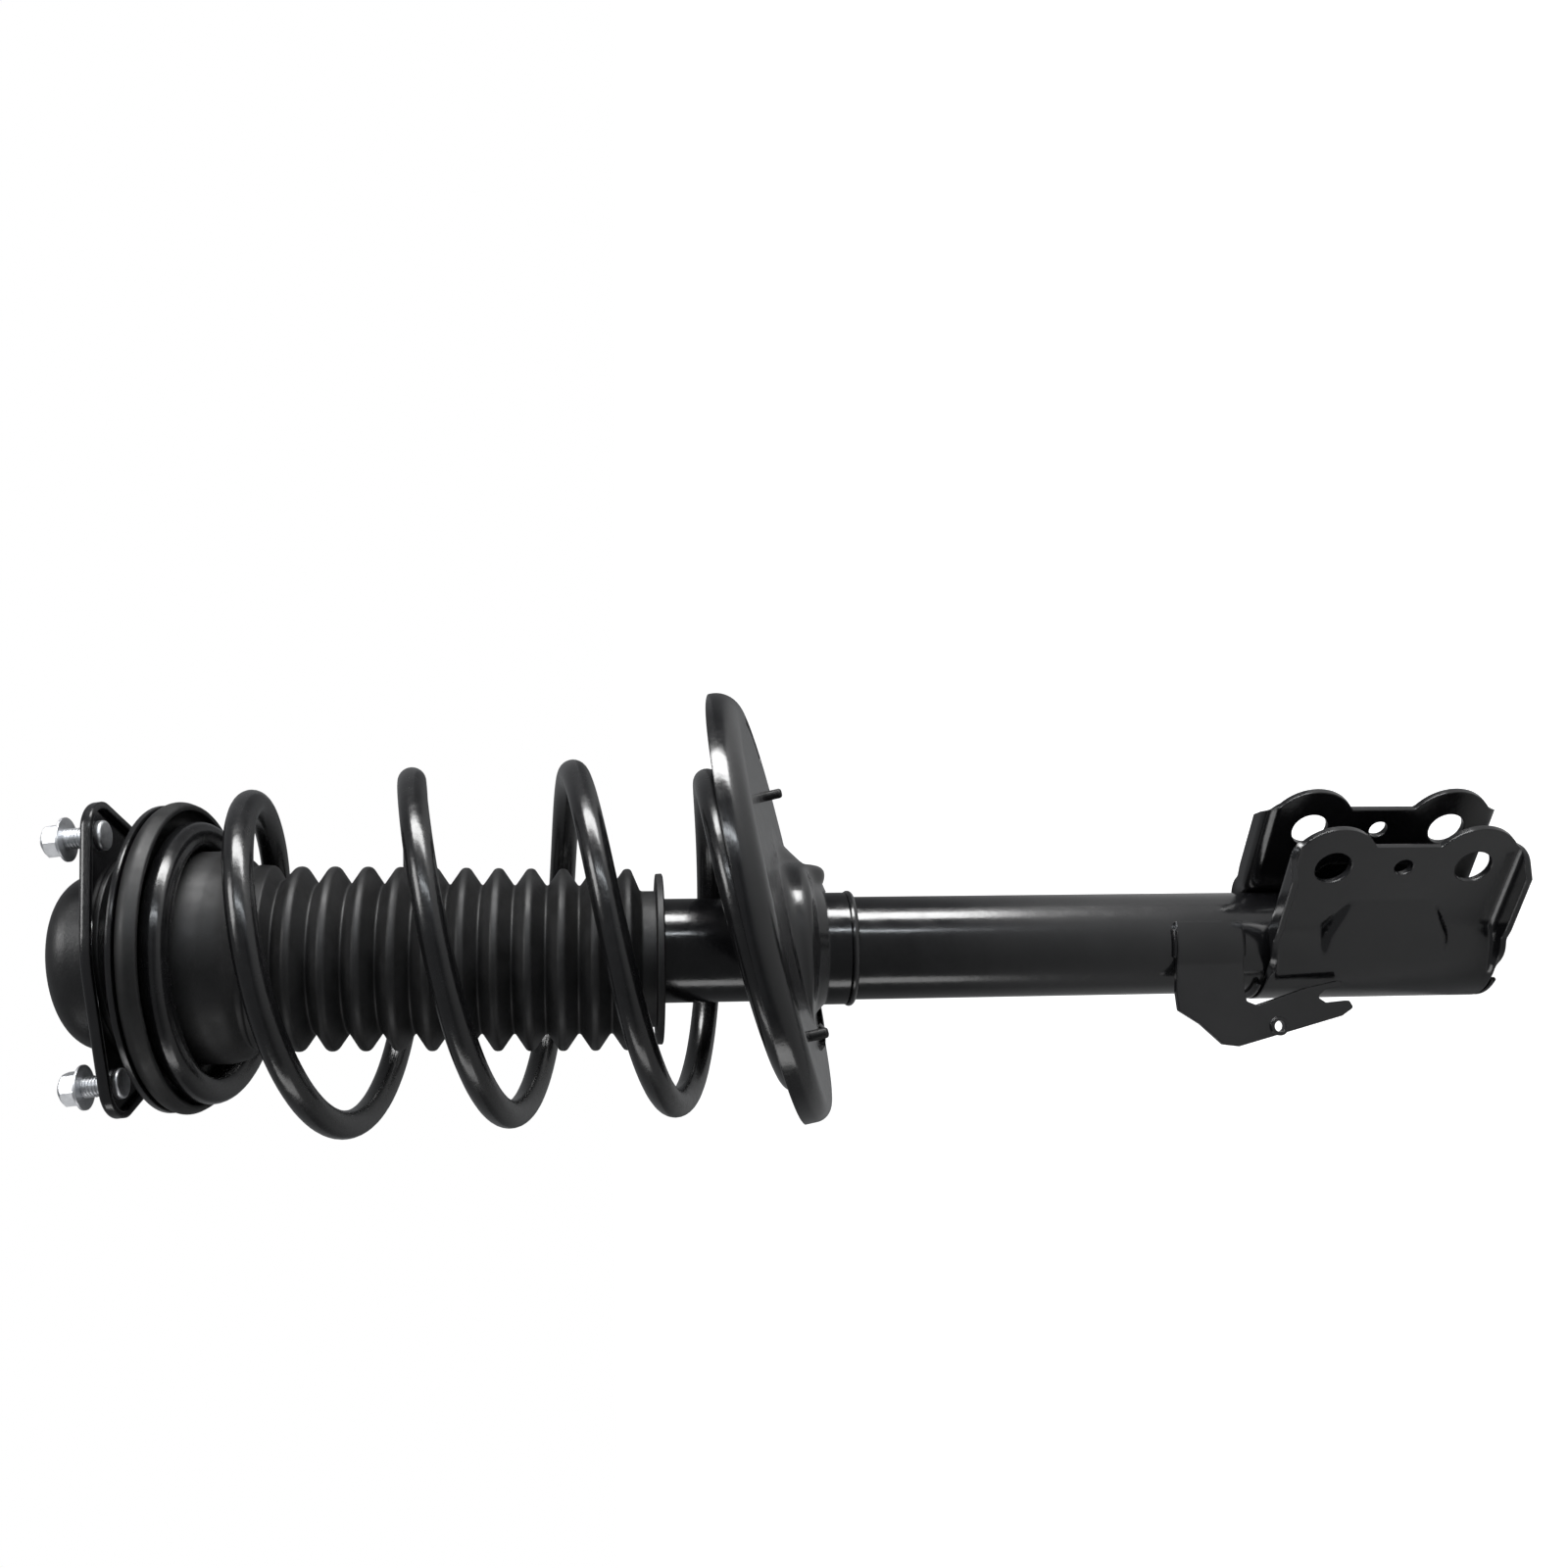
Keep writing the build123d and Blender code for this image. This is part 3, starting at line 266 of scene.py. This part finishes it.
# changes along the wire: the turn at which each starts, and how many turns it takes
TAIL_OPENS, FOOT_CLOSES = (-0.62, 1.05), (2.45, 0.7)
LEAN_LEAVES, LEAN_LANDS = (-0.3, 1.2), (2.2, 1.1)
COIL_CLOCK = 40.6
OFFSET_TOP, OFFSET_FOOT = -2.4, 13.0
MOUNT_LEAN = (-0.169, 0.047)
UPPER_LEAN = (-0.131, 0.073)
SEAT_LEAN = -0.282
TUBE_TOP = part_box("outer_tube")[1].z / MM
SEAT_DROP = 110.0
SEAT_FLOOR = TUBE_TOP - SEAT_DROP
SEAT_T, LOWER_PAD_T = 2.8, 3.0
UPPER_SEAT_TOP, UPPER_SEAT_T, UPPER_PAD_T = 17.7, 2.5, 4.0
FACE_GAP = 0.3
WIRE_DEPTH = UPPER_SEAT_T + UPPER_PAD_T + WIRE_R + FACE_GAP
COIL_TOP = -UPPER_SEAT_TOP - WIRE_DEPTH * math.hypot(1, *UPPER_LEAN) - UPPER_LEAN[0] * OFFSET_TOP
WIRE_HEIGHT = SEAT_T + LOWER_PAD_T + FACE_GAP + WIRE_R
COIL_FOOT = SEAT_FLOOR - SEAT_LEAN * OFFSET_FOOT + WIRE_HEIGHT * math.hypot(1, SEAT_LEAN)


def climb(turn):
    """How much of the way from the top seat to the lower seat the wire has come."""
    return (soft_step(turn - RISE_START) - soft_step(turn - RISE_END)) / (RISE_END - RISE_START)


def done(turn, change):
    """How much of a change along the wire is done at a turn, from 0 to 1."""
    start, length = change
    return ramp((turn - start) / length)


def coil_centre(turn):
    """The middle of the wire at a turn, in metres."""
    radius = TAIL_R + (COIL_R - TAIL_R) * done(turn, TAIL_OPENS)
    radius -= (COIL_R - FOOT_R) * done(turn, FOOT_CLOSES)
    angle = math.radians(COIL_CLOCK - 360 * turn)
    x, y = radius * math.cos(angle), radius * math.sin(angle)
    leave, land = done(turn, LEAN_LEAVES), done(turn, LEAN_LANDS)
    lean_x = UPPER_LEAN[0] * (1 - leave) + SEAT_LEAN * (leave + 2 * land) / 3
    lean_y = UPPER_LEAN[1] * (1 - leave)
    share = climb(turn)
    z = COIL_TOP + (COIL_FOOT - COIL_TOP) * share - lean_x * x - lean_y * y
    return Vector((x + OFFSET_TOP + (OFFSET_FOOT - OFFSET_TOP) * share, y, z)) * MM


def make_spring():
    """The wire with slightly broken end edges; each point's share of the stroke is worked out but not used.
    """
    steps, around = 520, 28
    turns = [START + (END - START) * i / steps for i in range(steps + 1)]
    rings, weights = [], []
    for turn in turns:
        centre = coil_centre(turn)
        along = (coil_centre(turn + 0.002) - coil_centre(turn - 0.002)).normalized()
        out = Vector((centre.x, centre.y, 0)).normalized()
        side = along.cross(out).normalized()
        out = side.cross(along)
        rings.append((centre, along, out, side))
        weights.append(min(max(climb(turn), 0.0), 1.0))
    verts, shares = [], []

    def add(ring, radius, shift, weight):
        centre, along, out, side = ring
        for j in range(around):
            a = 2 * math.pi * j / around
            verts.append(centre + along * shift + (out * math.cos(a) + side * math.sin(a)) * radius)
            shares.append(weight)

    wire = WIRE_R * MM
    add(rings[0], wire - 0.8 * MM, 0, weights[0])
    add(rings[0], wire - 0.2 * MM, 0.3 * MM, weights[0])
    for ring, weight in zip(rings[1:-1], weights[1:-1]):
        add(ring, wire, 0, weight)
    add(rings[-1], wire - 0.2 * MM, -0.3 * MM, weights[-1])
    add(rings[-1], wire - 0.8 * MM, 0, weights[-1])
    obj = piece("spring_wire", verts, tube_faces(len(verts) // around, around), "spring_coat")
    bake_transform(obj)
    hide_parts("coil_spring")


make_spring()


# ================= dust boot =================
def lathe(name, outline, slot, around, centre=None):
    """A closed turned skin from (radius, height) points in mm; centre gives the axis at each height."""
    following = outline[1:] + outline[:1]
    area = sum(r_a * z_b - r_b * z_a for (r_a, z_a), (r_b, z_b) in zip(outline, following))
    if area < 0:
        outline = outline[::-1]
    verts = []
    for radius, z in outline:
        cx, cy = centre(z) if centre else (0.0, 0.0)
        for j in range(around):
            a = 2 * math.pi * j / around
            verts.append(Vector((cx + radius * math.cos(a), cy + radius * math.sin(a), z)) * MM)
    faces = tube_faces(len(outline), around, False)
    last = (len(outline) - 1) * around
    faces += [(last + j, last + (j + 1) % around, (j + 1) % around, j) for j in range(around)]
    return piece(name, verts, faces, slot)


def rounded(points, steps=6):
    """A polyline with each corner that has a radius turned into an arc: points are (r, z, radius)."""
    out = []
    count = len(points)
    for i, (r, z, size) in enumerate(points):
        here = Vector((r, z))
        if size <= 0 or i in (0, count - 1):
            out.append((r, z))
            continue
        before, after = Vector(points[i - 1][:2]), Vector(points[i + 1][:2])
        a, b = (before - here), (after - here)
        reach = min(size, a.length * 0.48, b.length * 0.48)
        p, q = here + a.normalized() * reach, here + b.normalized() * reach
        for k in range(steps + 1):
            t = k / steps
            v = p * (1 - t) ** 2 + here * 2 * t * (1 - t) + q * t * t
            out.append((v.x, v.y))
    return out


BOOT_SAG = Vector((-0.760, -0.650))
BOOT_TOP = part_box("dust_boot")[1].z / MM
BOOT_PITCH = 15.55
BOOT_FOLDS = 11


def boot_axis(z):
    """The boot hangs a little to one side, more towards its lower end."""
    below = BOOT_TOP - 21 - z
    drop = 1.2 + 2.6 * ramp((below - 10) / 180) if below > 0 else 0.0
    return BOOT_SAG * drop * ramp(below / 20)


def make_boot():
    """The bellows: its cup leans with the spring seat, its folds hang square to the rod."""
    wall = 1.6
    # each point: radius, height above the boot's top, size of the rounded corner
    outer = [(47.5, 11.2, 0), (49.6, 10.4, 1.2), (50.4, 4, 2.5), (50.4, -14, 3), (47.5, -21.5, 3),
             (43.4, -24.0, 1.0), (43.4, -25.6, 0.7), (44.2, -26.4, 0.5), (44.2, -32.8, 0.8),
             (37.0, -37.4, 1.6)]
    for i in range(BOOT_FOLDS):
        crest = -45.4 - BOOT_PITCH * i
        outer += [(44.2, crest + 1.6, 1.4), (44.2, crest - 1.6, 1.4), (35.2, crest - BOOT_PITCH / 2, 1.9)]
    outer[-1] = (33.2, -207.2, 1.2)
    outer += [(33.2, -214.4, 0.6), (41.6, -214.6, 0.4), (41.8, -217.6, 0.8), (41.0, -218.0, 0)]
    skin = rounded(outer)
    inner = [(r - wall, z) for r, z in rounded(outer[:-3])]
    inner += [(31.6, -218.0)]
    outline = [(r, z + BOOT_TOP) for r, z in skin + inner[::-1]]
    obj = lathe("boot_bellows", outline, "boot_rubber", 144, boot_axis)
    for vert in obj.data.vertices:
        upright = ramp((BOOT_TOP - 17 - vert.co.z / MM) / 10)
        vert.co.z -= (UPPER_LEAN[0] * vert.co.x + UPPER_LEAN[1] * vert.co.y) * (1 - upright)
    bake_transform(obj)
    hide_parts("dust_boot")


make_boot()


# ================= bump stop =================
def make_bump_stop():
    """The foam bumper round the rod; it rides with the rod group."""
    low, high = (corner.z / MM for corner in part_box("bump_stop"))
    length = high - low
    outline = [(11.6, 0, 0), (20.0, 0, 1.5)]
    waists = 3
    for i in range(1, 2 * waists):
        radius = 20.5 - 4.5 * i / (2 * waists) - (3.2 if i % 2 else 0.0)
        outline.append((radius, -length * i / (2 * waists), 4.5))
    outline += [(14.6, -length, 2.0), (11.6, -length, 0)]
    points = [(r, z + high) for r, z in rounded(outline, 8)]
    obj = lathe("bump_stop_foam", points, "foam", 96)
    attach(obj, "rod_group")
    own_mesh(obj)
    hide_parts("bump_stop")


make_bump_stop()


# ================= top mount =================
def leaning_axes(lean_x, lean_y):
    """X, Y and Z of a plane whose normal leans, with its X in the plane Y = 0."""
    up = Vector((lean_x, lean_y, 1)).normalized()
    across = Vector((1, 0, -lean_x)).normalized()
    return across, up.cross(across), up


STUD_CIRCLE, STUD_CLOCK, STUD_COUNT = 130.0, 10.6, 3
STUD_FREE, STUD_TIP, NUT_H, HAIR_GAP = 12.0, 1.5, 9.5, 0.02
STUD_HEAD = [(0.3, -6.0), (5.6, -6.0), (6.5, -5.8), (6.95, -5.2), (7.0, -4.6), (7.0, -3.0)]
THREAD_PITCH, THREAD_DEPTH, THREAD_R = 1.5, 0.75, 4.95
THREAD_FADE, TIP_TAPER, TIP_TAPER_L = 1.2, 0.9, 1.3
SHANK_R, PLATE_T = 5.5, 3.0


def thread_radius(z, turn, low, high):
    """A rounded V thread that fades out at both ends, with a tapered tip."""
    phase = (z / THREAD_PITCH - turn) % 1.0
    groove = (0.5 - 0.5 * math.cos(2 * math.pi * phase)) ** 0.8
    fade = ramp((z - low) / THREAD_FADE) * ramp((high - z) / THREAD_FADE)
    taper = TIP_TAPER * ramp((z - high + TIP_TAPER_L) / TIP_TAPER_L)
    return THREAD_R - THREAD_DEPTH * groove * fade - taper


def make_studs():
    """Each stud: a round-edged head under the plate, a plain shank in it and a rolled thread."""
    axes = leaning_axes(*MOUNT_LEAN)
    around, step = 48, 0.125
    top = STUD_FREE + HAIR_GAP + NUT_H + STUD_TIP
    shank = [(SHANK_R, -PLATE_T), (SHANK_R, -HAIR_GAP), (THREAD_R, -HAIR_GAP)]
    for number in range(STUD_COUNT):
        clock = math.radians(STUD_CLOCK + 360 / STUD_COUNT * number)
        spot = (axes[0] * math.cos(clock) + axes[1] * math.sin(clock)) * STUD_CIRCLE / 2
        count = int(round(top / step))
        rings = STUD_HEAD + shank + [(None, i * step) for i in range(count + 1)]
        verts = []
        for radius, z in rings:
            for j in range(around):
                turn = j / around
                r = radius if radius is not None else thread_radius(z, turn, 0.0, top)
                a = 2 * math.pi * turn
                beside = spot + axes[0] * r * math.cos(a) + axes[1] * r * math.sin(a)
                verts.append((beside + axes[2] * z) * MM)
        obj = piece(f"mount_stud_{number + 1}", verts, tube_faces(len(rings), around), "zinc")
        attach(obj, "mount")
        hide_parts("mount_studs")


make_studs()


# ================= lower spring seat =================
SEAT_R, SEAT_EDGE_GAP = 106.0, 9.45
COLLAR_DROP, COLLAR_L = 24.0, 13.0
NECK_R, FUNNEL_R = 27.7, 42.0
BULGE_R, BULGE_ANGLE, BULGE_SIZE = 40.0, 52.0, 11.5
SHOWN_WALL = 2.4


def soft_min(a, b, width=3.0):
    """The smaller of two heights, rounded where they cross."""
    return (a + b - math.hypot(a - b, width)) / 2


def neck_height(radius):
    """Height of the funnel's outer skin at a radius from the tube's axis."""
    collar_end = SEAT_FLOOR - COLLAR_DROP
    stops = [(NECK_R, collar_end + COLLAR_L), (NECK_R + 5, collar_end + 19),
             (FUNNEL_R, collar_end + 23), (60.0, collar_end + 26)]
    for (r_a, z_a), (r_b, z_b) in zip(stops, stops[1:]):
        if radius <= r_b:
            return z_a + (z_b - z_a) * (radius - r_a) / (r_b - r_a)
    return stops[-1][1]


def make_lower_seat():
    """The drawn dish: rolled rim, drain slots, a pressed bulge, and a neck that flows to the collar."""
    offset = SEAT_R - (FOOT_R + WIRE_R - OFFSET_FOOT) - SEAT_EDGE_GAP
    axes = leaning_axes(SEAT_LEAN, 0)
    middle = Vector((offset, 0, SEAT_FLOOR - SEAT_LEAN * offset))
    around = 216

    def on_dish(radius, angle, height):
        """A point from its radius and angle on the leaning dish and its height over the floor."""
        beside = middle + axes[0] * radius * math.cos(angle) + axes[1] * radius * math.sin(angle)
        return beside + axes[2] * height

    def floor_z(x):
        """Height of the leaning floor at a distance along X."""
        return SEAT_FLOOR - SEAT_LEAN * x

    side = math.radians(BULGE_ANGLE)
    bulge = Vector((BULGE_R * math.cos(side), BULGE_R * math.sin(side)))
    floor_radii = (91.0, 88.0, 84.0, 79.0, 74.0)
    shoulder_steps = 12

    def rim_profile(angle):
        """(radius, height) from the rolled edge to the floor; the shoulder is broader outboard."""
        size = 8.0 + 5.0 * ramp((math.cos(angle) + 0.1) / 0.7)
        points = [(104.2, 14.0), (105.4, 13.9), (SEAT_R, 13.6), (SEAT_R, 13.2)]
        for k in range(shoulder_steps + 1):
            a = math.pi / 2 * k / shoulder_steps
            points.append((SEAT_R - size + size * math.cos(a), size - size * math.sin(a)))
        return points + [(radius, 0) for radius in floor_radii]

    profiles = [rim_profile(2 * math.pi * j / around) for j in range(around)]
    rows = []
    for i in range(len(profiles[0])):
        rows.append([on_dish(profiles[j][i][0], 2 * math.pi * j / around, profiles[j][i][1])
                     for j in range(around)])
    floor_start = len(rows) - len(floor_radii)
    # each slot: the rows it crosses, its middle angle and half its span
    slots = [(range(floor_start - 1, floor_start + 1), 59.0, 18.0),
             (range(floor_start - 4, floor_start - 3), 58.0, 9.0)]
    mouth, spans = 46.0, 16
    for k in range(1, spans + 1):
        share = k / spans
        row = []
        for j in range(around):
            a = 2 * math.pi * j / around
            inner = Vector((mouth * math.cos(a), mouth * math.sin(a), floor_z(mouth * math.cos(a))))
            row.append(on_dish(floor_radii[-1], a, 0).lerp(inner, share))
        rows.append(row)
    # each row of the funnel's wall: its radius, and how far it has gone down to the neck's height
    wall = [(44.6, 0.02), (43.6, 0.07), (42.9, 0.16), (42.4, 0.32), (42.1, 0.5),
            (41.9, 0.7), (41.5, 0.86), (40.8, 0.95)]
    wall_foot = 39.6
    wall += [(wall_foot - (wall_foot - NECK_R) * k / 12, 1.0) for k in range(13)]
    for radius, down in wall:
        row = []
        for j in range(around):
            a = 2 * math.pi * j / around
            x, y = radius * math.cos(a), radius * math.sin(a)
            flat = floor_z(x)
            target = soft_min(flat, neck_height(radius))
            row.append(Vector((x, y, flat + (target - flat) * down)))
        rows.append(row)
    collar_top = rows[-1]
    collar_end = neck_height(NECK_R) - COLLAR_L
    for drop in (1.0, 2.2, 4.0, 7.0, 10.0, COLLAR_L):
        share = drop / COLLAR_L
        rows.append([Vector((v.x, v.y, v.z + (collar_end - v.z) * share)) for v in collar_top])
    for row in rows[floor_start:]:
        for vert in row:
            away = (Vector((vert.x, vert.y)) - bulge).length
            if math.hypot(vert.x, vert.y) > NECK_R + 0.8:
                vert.z -= BULGE_SIZE * math.exp(-(away / BULGE_SIZE) ** 2)
    verts = [vert * MM for row in rows for vert in row]
    faces = []
    for i in range(len(rows) - 1):
        for j in range(around):
            angle = 360 * (j + 0.5) / around
            in_slot = any(i in strip and abs(angle - mid) < half for strip, mid, half in slots)
            if not in_slot:
                k = (j + 1) % around
                faces.append((i * around + j, (i + 1) * around + j, (i + 1) * around + k, i * around + k))
    obj = piece("lower_seat_dish", verts, faces, "black_coat")
    solid = obj.modifiers.new("wall", "SOLIDIFY")
    solid.thickness = SHOWN_WALL * MM
    solid.offset = -1.0
    bake(obj)
    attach(obj, "damper")
    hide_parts("lower_spring_seat")


make_lower_seat()


# ================= upper rubber ring =================
def make_upper_ring():
    """The rounded rubber ring between the upper seat and the wire."""
    outline = [(54.0, -2.6, 0), (71.0, -2.6, 3), (74.4, -8.0, 5), (71.8, -13.5, 2), (69.4, -13.0, 0.6),
               (69.3, -10.0, 2), (66.0, -6.6, 3), (54.0, -6.2, 0)]
    obj = lathe("upper_rubber_ring", rounded(outline, 8), "rubber", 144)
    axes = leaning_axes(*UPPER_LEAN)
    for vert in obj.data.vertices:
        x, y, z = vert.co
        vert.co = axes[0] * x + axes[1] * y + axes[2] * z - Vector((0, 0, UPPER_SEAT_TOP * MM))
    obj.data.update()
    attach(obj, "rod_group")
    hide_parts("upper_insulator")


make_upper_ring()


# ================= knuckle bracket =================
TUBE_D, TUBE_L, EAR_GAP, BRACKET_T = 51.0, 457.0, 28.0, 3.2
SHEET_R = TUBE_D / 2 + BRACKET_T / 2
EAR_Y = EAR_GAP / 2 + BRACKET_T / 2
LIP_OUT, LIP_BEND = 12.0, 5.0
BRACKET_H, BRACKET_PAST = 122.0, 5.0
BRACKET_LOW = TUBE_TOP - TUBE_L - BRACKET_PAST
BRACKET_HIGH = BRACKET_LOW + BRACKET_H
BOLT_X, BOLT_R, PIN_R = 61.0, 9.15, 4.7
BOLT_DROP, BOLT_SPACING = 24.5, 72.0
BOLT_HIGH = BRACKET_HIGH - BOLT_DROP
BOLT_LOW = BOLT_HIGH - BOLT_SPACING
EAR_EDGE_X, EAR_ROUND_R = 73.0, 22.8
EAR_START_X = 42.0
GUSSET_IN_X, GUSSET_KNEE_X, GUSSET_OUT_X = 8.0, 21.0, 40.5
GUSSET_IN_Y = 25.9
GUSSET_HALF, GUSSET_TAPER, GUSSET_FADE = 33.0, 11.0, 3.0
LIP_FADE_X, LIP_FADE_L = -4.0, 34.0
FAR_OFF = 1000.0


def soft_max(a, b, width=2.0):
    """The larger of two distances, rounded where they cross."""
    return (a + b + math.hypot(a - b, width)) / 2


def ear_edge(z):
    """How far out the ear reaches at a height: straight, with a round over each bolt."""
    reach = EAR_EDGE_X
    for bolt in (BOLT_HIGH, BOLT_LOW):
        across = EAR_ROUND_R ** 2 - (z - bolt) ** 2
        if across > 0:
            reach = max(reach, BOLT_X + math.sqrt(across))
    return reach


def side_y(x, z):
    """The sheet's distance from the middle plane: wrap, gusset or flat ear."""
    flat = soft_max(math.sqrt(max(SHEET_R ** 2 - x * x, 0.0)), EAR_Y)
    if not GUSSET_IN_X < x < GUSSET_OUT_X:
        return flat
    along = (x - GUSSET_IN_X) / (GUSSET_OUT_X - GUSSET_IN_X)
    chord = GUSSET_IN_Y + (EAR_Y - GUSSET_IN_Y) * along
    half = GUSSET_HALF - GUSSET_TAPER * max(0.0, (x - GUSSET_KNEE_X) / (GUSSET_OUT_X - GUSSET_KNEE_X))
    inside = ramp((half - abs(z - (BRACKET_LOW + BRACKET_HIGH) / 2)) / GUSSET_FADE)
    return flat + max(chord - flat, 0.0) * inside


def sheet_rows():
    """(height with the lip bent, height with it straight, reach outwards) up the bracket."""
    lip = []
    for k in range(17):
        q = k / 16
        turn = math.pi / 2 * min(q * 2, 1.0)
        out = LIP_BEND * (1 - math.cos(turn)) + (LIP_OUT - LIP_BEND) * max(0.0, q * 2 - 1)
        lip.append((LIP_BEND * (1 - math.sin(turn)), LIP_BEND * (1 - q), out))
    low, high = BRACKET_LOW + BRACKET_T / 2, BRACKET_HIGH - BRACKET_T / 2
    rows = [(low + bent, low + plain, out) for bent, plain, out in reversed(lip)]
    steps = 84
    for k in range(1, steps):
        z = low + LIP_BEND + (high - low - 2 * LIP_BEND) * k / steps
        rows.append((z, z, 0.0))
    return rows + [(high - bent, high - plain, out) for bent, plain, out in lip]


def open_hole(verts, faces, z, radius):
    """Leaves out the faces inside a round hole through the ears and draws the rim onto the circle."""
    def away(index):
        """Distance of an ear's point from the hole's middle in mm; points off the ears are far off."""
        vert = verts[index] / MM
        return math.hypot(vert.x - BOLT_X, vert.z - z) if vert.x > EAR_START_X else FAR_OFF

    gone = [face for face in faces if any(away(i) < radius + 0.1 for i in face)]
    for index in {i for face in gone for i in face}:
        length = away(index)
        if length >= radius + 0.1:
            vert = verts[index]
            vert.x = (BOLT_X + (vert.x / MM - BOLT_X) * radius / length) * MM
            vert.z = (z + (vert.z / MM - z) * radius / length) * MM
    dropped = set(gone)
    return [face for face in faces if face not in dropped]


def without_loose(verts, faces):
    """The same mesh without the points that no face uses."""
    used = sorted({i for face in faces for i in face})
    place = {old: new for new, old in enumerate(used)}
    return [verts[i] for i in used], [tuple(place[i] for i in face) for face in faces]


def make_knuckle_bracket():
    """One bent sheet: the wrap round the tube, two ears with gussets, and lips at both ends."""
    wrap, inner, outer = 24, 32, 34
    rows = sheet_rows()
    verts = []
    for bent, plain, out in rows:
        line = []
        for k in range(wrap):
            a = math.pi / 2 * k / wrap
            line.append((-SHEET_R * math.cos(a), SHEET_R * math.sin(a)))
        for k in range(inner + outer + 1):
            edge = ear_edge(plain) - out
            x = EAR_START_X * min(k / inner, 1.0) + (edge - EAR_START_X) * max(k - inner, 0) / outer
            line.append((x, side_y(x, plain)))
        for side in (-1, 1):
            ordered = line[::-1] if side < 0 else line[1:]
            for x, y in ordered:
                lifted = ramp((x - LIP_FADE_X) / LIP_FADE_L)
                z = plain + (bent - plain) * lifted
                verts.append(Vector((x, side * (y + out * lifted), z)) * MM)
    across = len(verts) // len(rows)
    faces = []
    for i in range(len(rows) - 1):
        for j in range(across - 1):
            faces.append((i * across + j, i * across + j + 1, (i + 1) * across + j + 1, (i + 1) * across + j))
    holes = [(BOLT_HIGH, BOLT_R), (BOLT_LOW, BOLT_R), ((BOLT_HIGH + BOLT_LOW) / 2, PIN_R)]
    for z, radius in holes:
        faces = open_hole(verts, faces, z, radius)
    verts, faces = without_loose(verts, faces)
    obj = piece("knuckle_sheet", verts, faces, "black_coat")
    wall = obj.modifiers.new("wall", "SOLIDIFY")
    wall.thickness = BRACKET_T * MM
    wall.offset = 0.0
    bake(obj)
    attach(obj, "damper")
    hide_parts("knuckle_bracket")


make_knuckle_bracket()


# ================= floor, light and camera =================
FLOOR_GAP = 0.003


def make_stage():
    """A floor under the strut that the camera sees as white paper."""
    low = CAD_BOX[0].z - FLOOR_GAP
    mesh = bpy.data.meshes.new("floor")
    size = 40.0
    corners = [(-size, -size, low), (size, -size, low), (size, size, low), (-size, size, low)]
    mesh.from_pydata(corners, [], [(0, 1, 2, 3)])
    floor = bpy.data.objects.new("floor", mesh)
    bpy.context.scene.collection.objects.link(floor)
    mat, nodes, links, shader = tree_of("floor_paper")
    shader.inputs["Base Color"].default_value = (0.5, 0.5, 0.5, 1)
    shader.inputs["Roughness"].default_value = 0.9
    shader.inputs["Specular IOR Level"].default_value = 0.0
    shader.inputs["Emission Color"].default_value = (1, 1, 1, 1)
    path = nodes.new("ShaderNodeLightPath")
    links.new(path.outputs["Is Camera Ray"], shader.inputs["Emission Strength"])
    mesh.materials.append(mat)


def softbox(name, target, direction, distance, size, power, colour=(1, 1, 1)):
    """A rectangular light that faces the target; its second size runs along the strut."""
    light = bpy.data.lights.new(name, "AREA")
    light.shape = "RECTANGLE"
    light.size, light.size_y = size
    light.energy = power
    light.color = colour
    obj = bpy.data.objects.new(name, light)
    bpy.context.scene.collection.objects.link(obj)
    back = Vector(direction).normalized()
    obj.location = Vector(target) + back * distance
    axis_y = Vector((0, 0, 1))
    x = axis_y.cross(back).normalized()
    y = back.cross(x)
    obj.rotation_euler = Matrix((x, y, back)).transposed().to_euler()


# the camera's own axes in the part's frame
UP = Vector((0.8227, 0.5686, -0.0028))
RIGHT = Vector((0.0625, -0.0953, -0.9935))
BACK = Vector((0.5652, -0.8172, 0.1139))


def make_lights():
    """Four softboxes, and surroundings that are white to the camera and dim to everything else."""
    middle = (0.0, 0.0, -0.33)
    softbox("key_above", middle, UP + BACK * 0.15, 1.1, (0.34, 1.5), 30)
    softbox("front_above", middle, UP * 0.75 + BACK * 0.8, 1.5, (0.08, 1.7), 8, (0.90, 0.95, 1.0))
    softbox("fill_below", middle, -UP + BACK * 0.35, 1.2, (0.30, 1.5), 4)
    softbox("side_left", middle, -RIGHT * 0.9 + BACK * 0.5 + UP * 0.4, 1.4, (0.5, 0.5), 6)
    world = bpy.data.worlds.new("studio")
    world.use_nodes = True
    nodes, links = world.node_tree.nodes, world.node_tree.links
    sky = nodes["Background"]
    sky.inputs["Color"].default_value = (1, 1, 1, 1)
    sky.inputs["Strength"].default_value = 1.0
    dim = nodes.new("ShaderNodeBackground")
    dim.inputs["Color"].default_value = (0.95, 0.97, 1.0, 1)
    dim.inputs["Strength"].default_value = 0.22
    path = nodes.new("ShaderNodeLightPath")
    mix = nodes.new("ShaderNodeMixShader")
    links.new(path.outputs["Is Camera Ray"], mix.inputs["Fac"])
    links.new(dim.outputs["Background"], mix.inputs[1])
    links.new(sky.outputs["Background"], mix.inputs[2])
    links.new(mix.outputs["Shader"], nodes["World Output"].inputs["Surface"])
    bpy.context.scene.world = world


def make_camera():
    """The camera that was fitted to the photo."""
    data = bpy.data.cameras.new("camera")
    data.sensor_width = 36.0
    data.lens = 36.98
    data.clip_start = 0.02
    data.clip_end = 100.0
    camera = bpy.data.objects.new("camera", data)
    bpy.context.scene.collection.objects.link(camera)
    camera.location = (0.51897, -0.60628, -0.21963)
    camera.rotation_euler = Matrix((RIGHT, UP, BACK)).transposed().to_euler()
    bpy.context.scene.camera = camera


make_stage()
make_lights()
make_camera()
view = bpy.context.scene.view_settings
view.view_transform = "Standard"
view.look = "None"
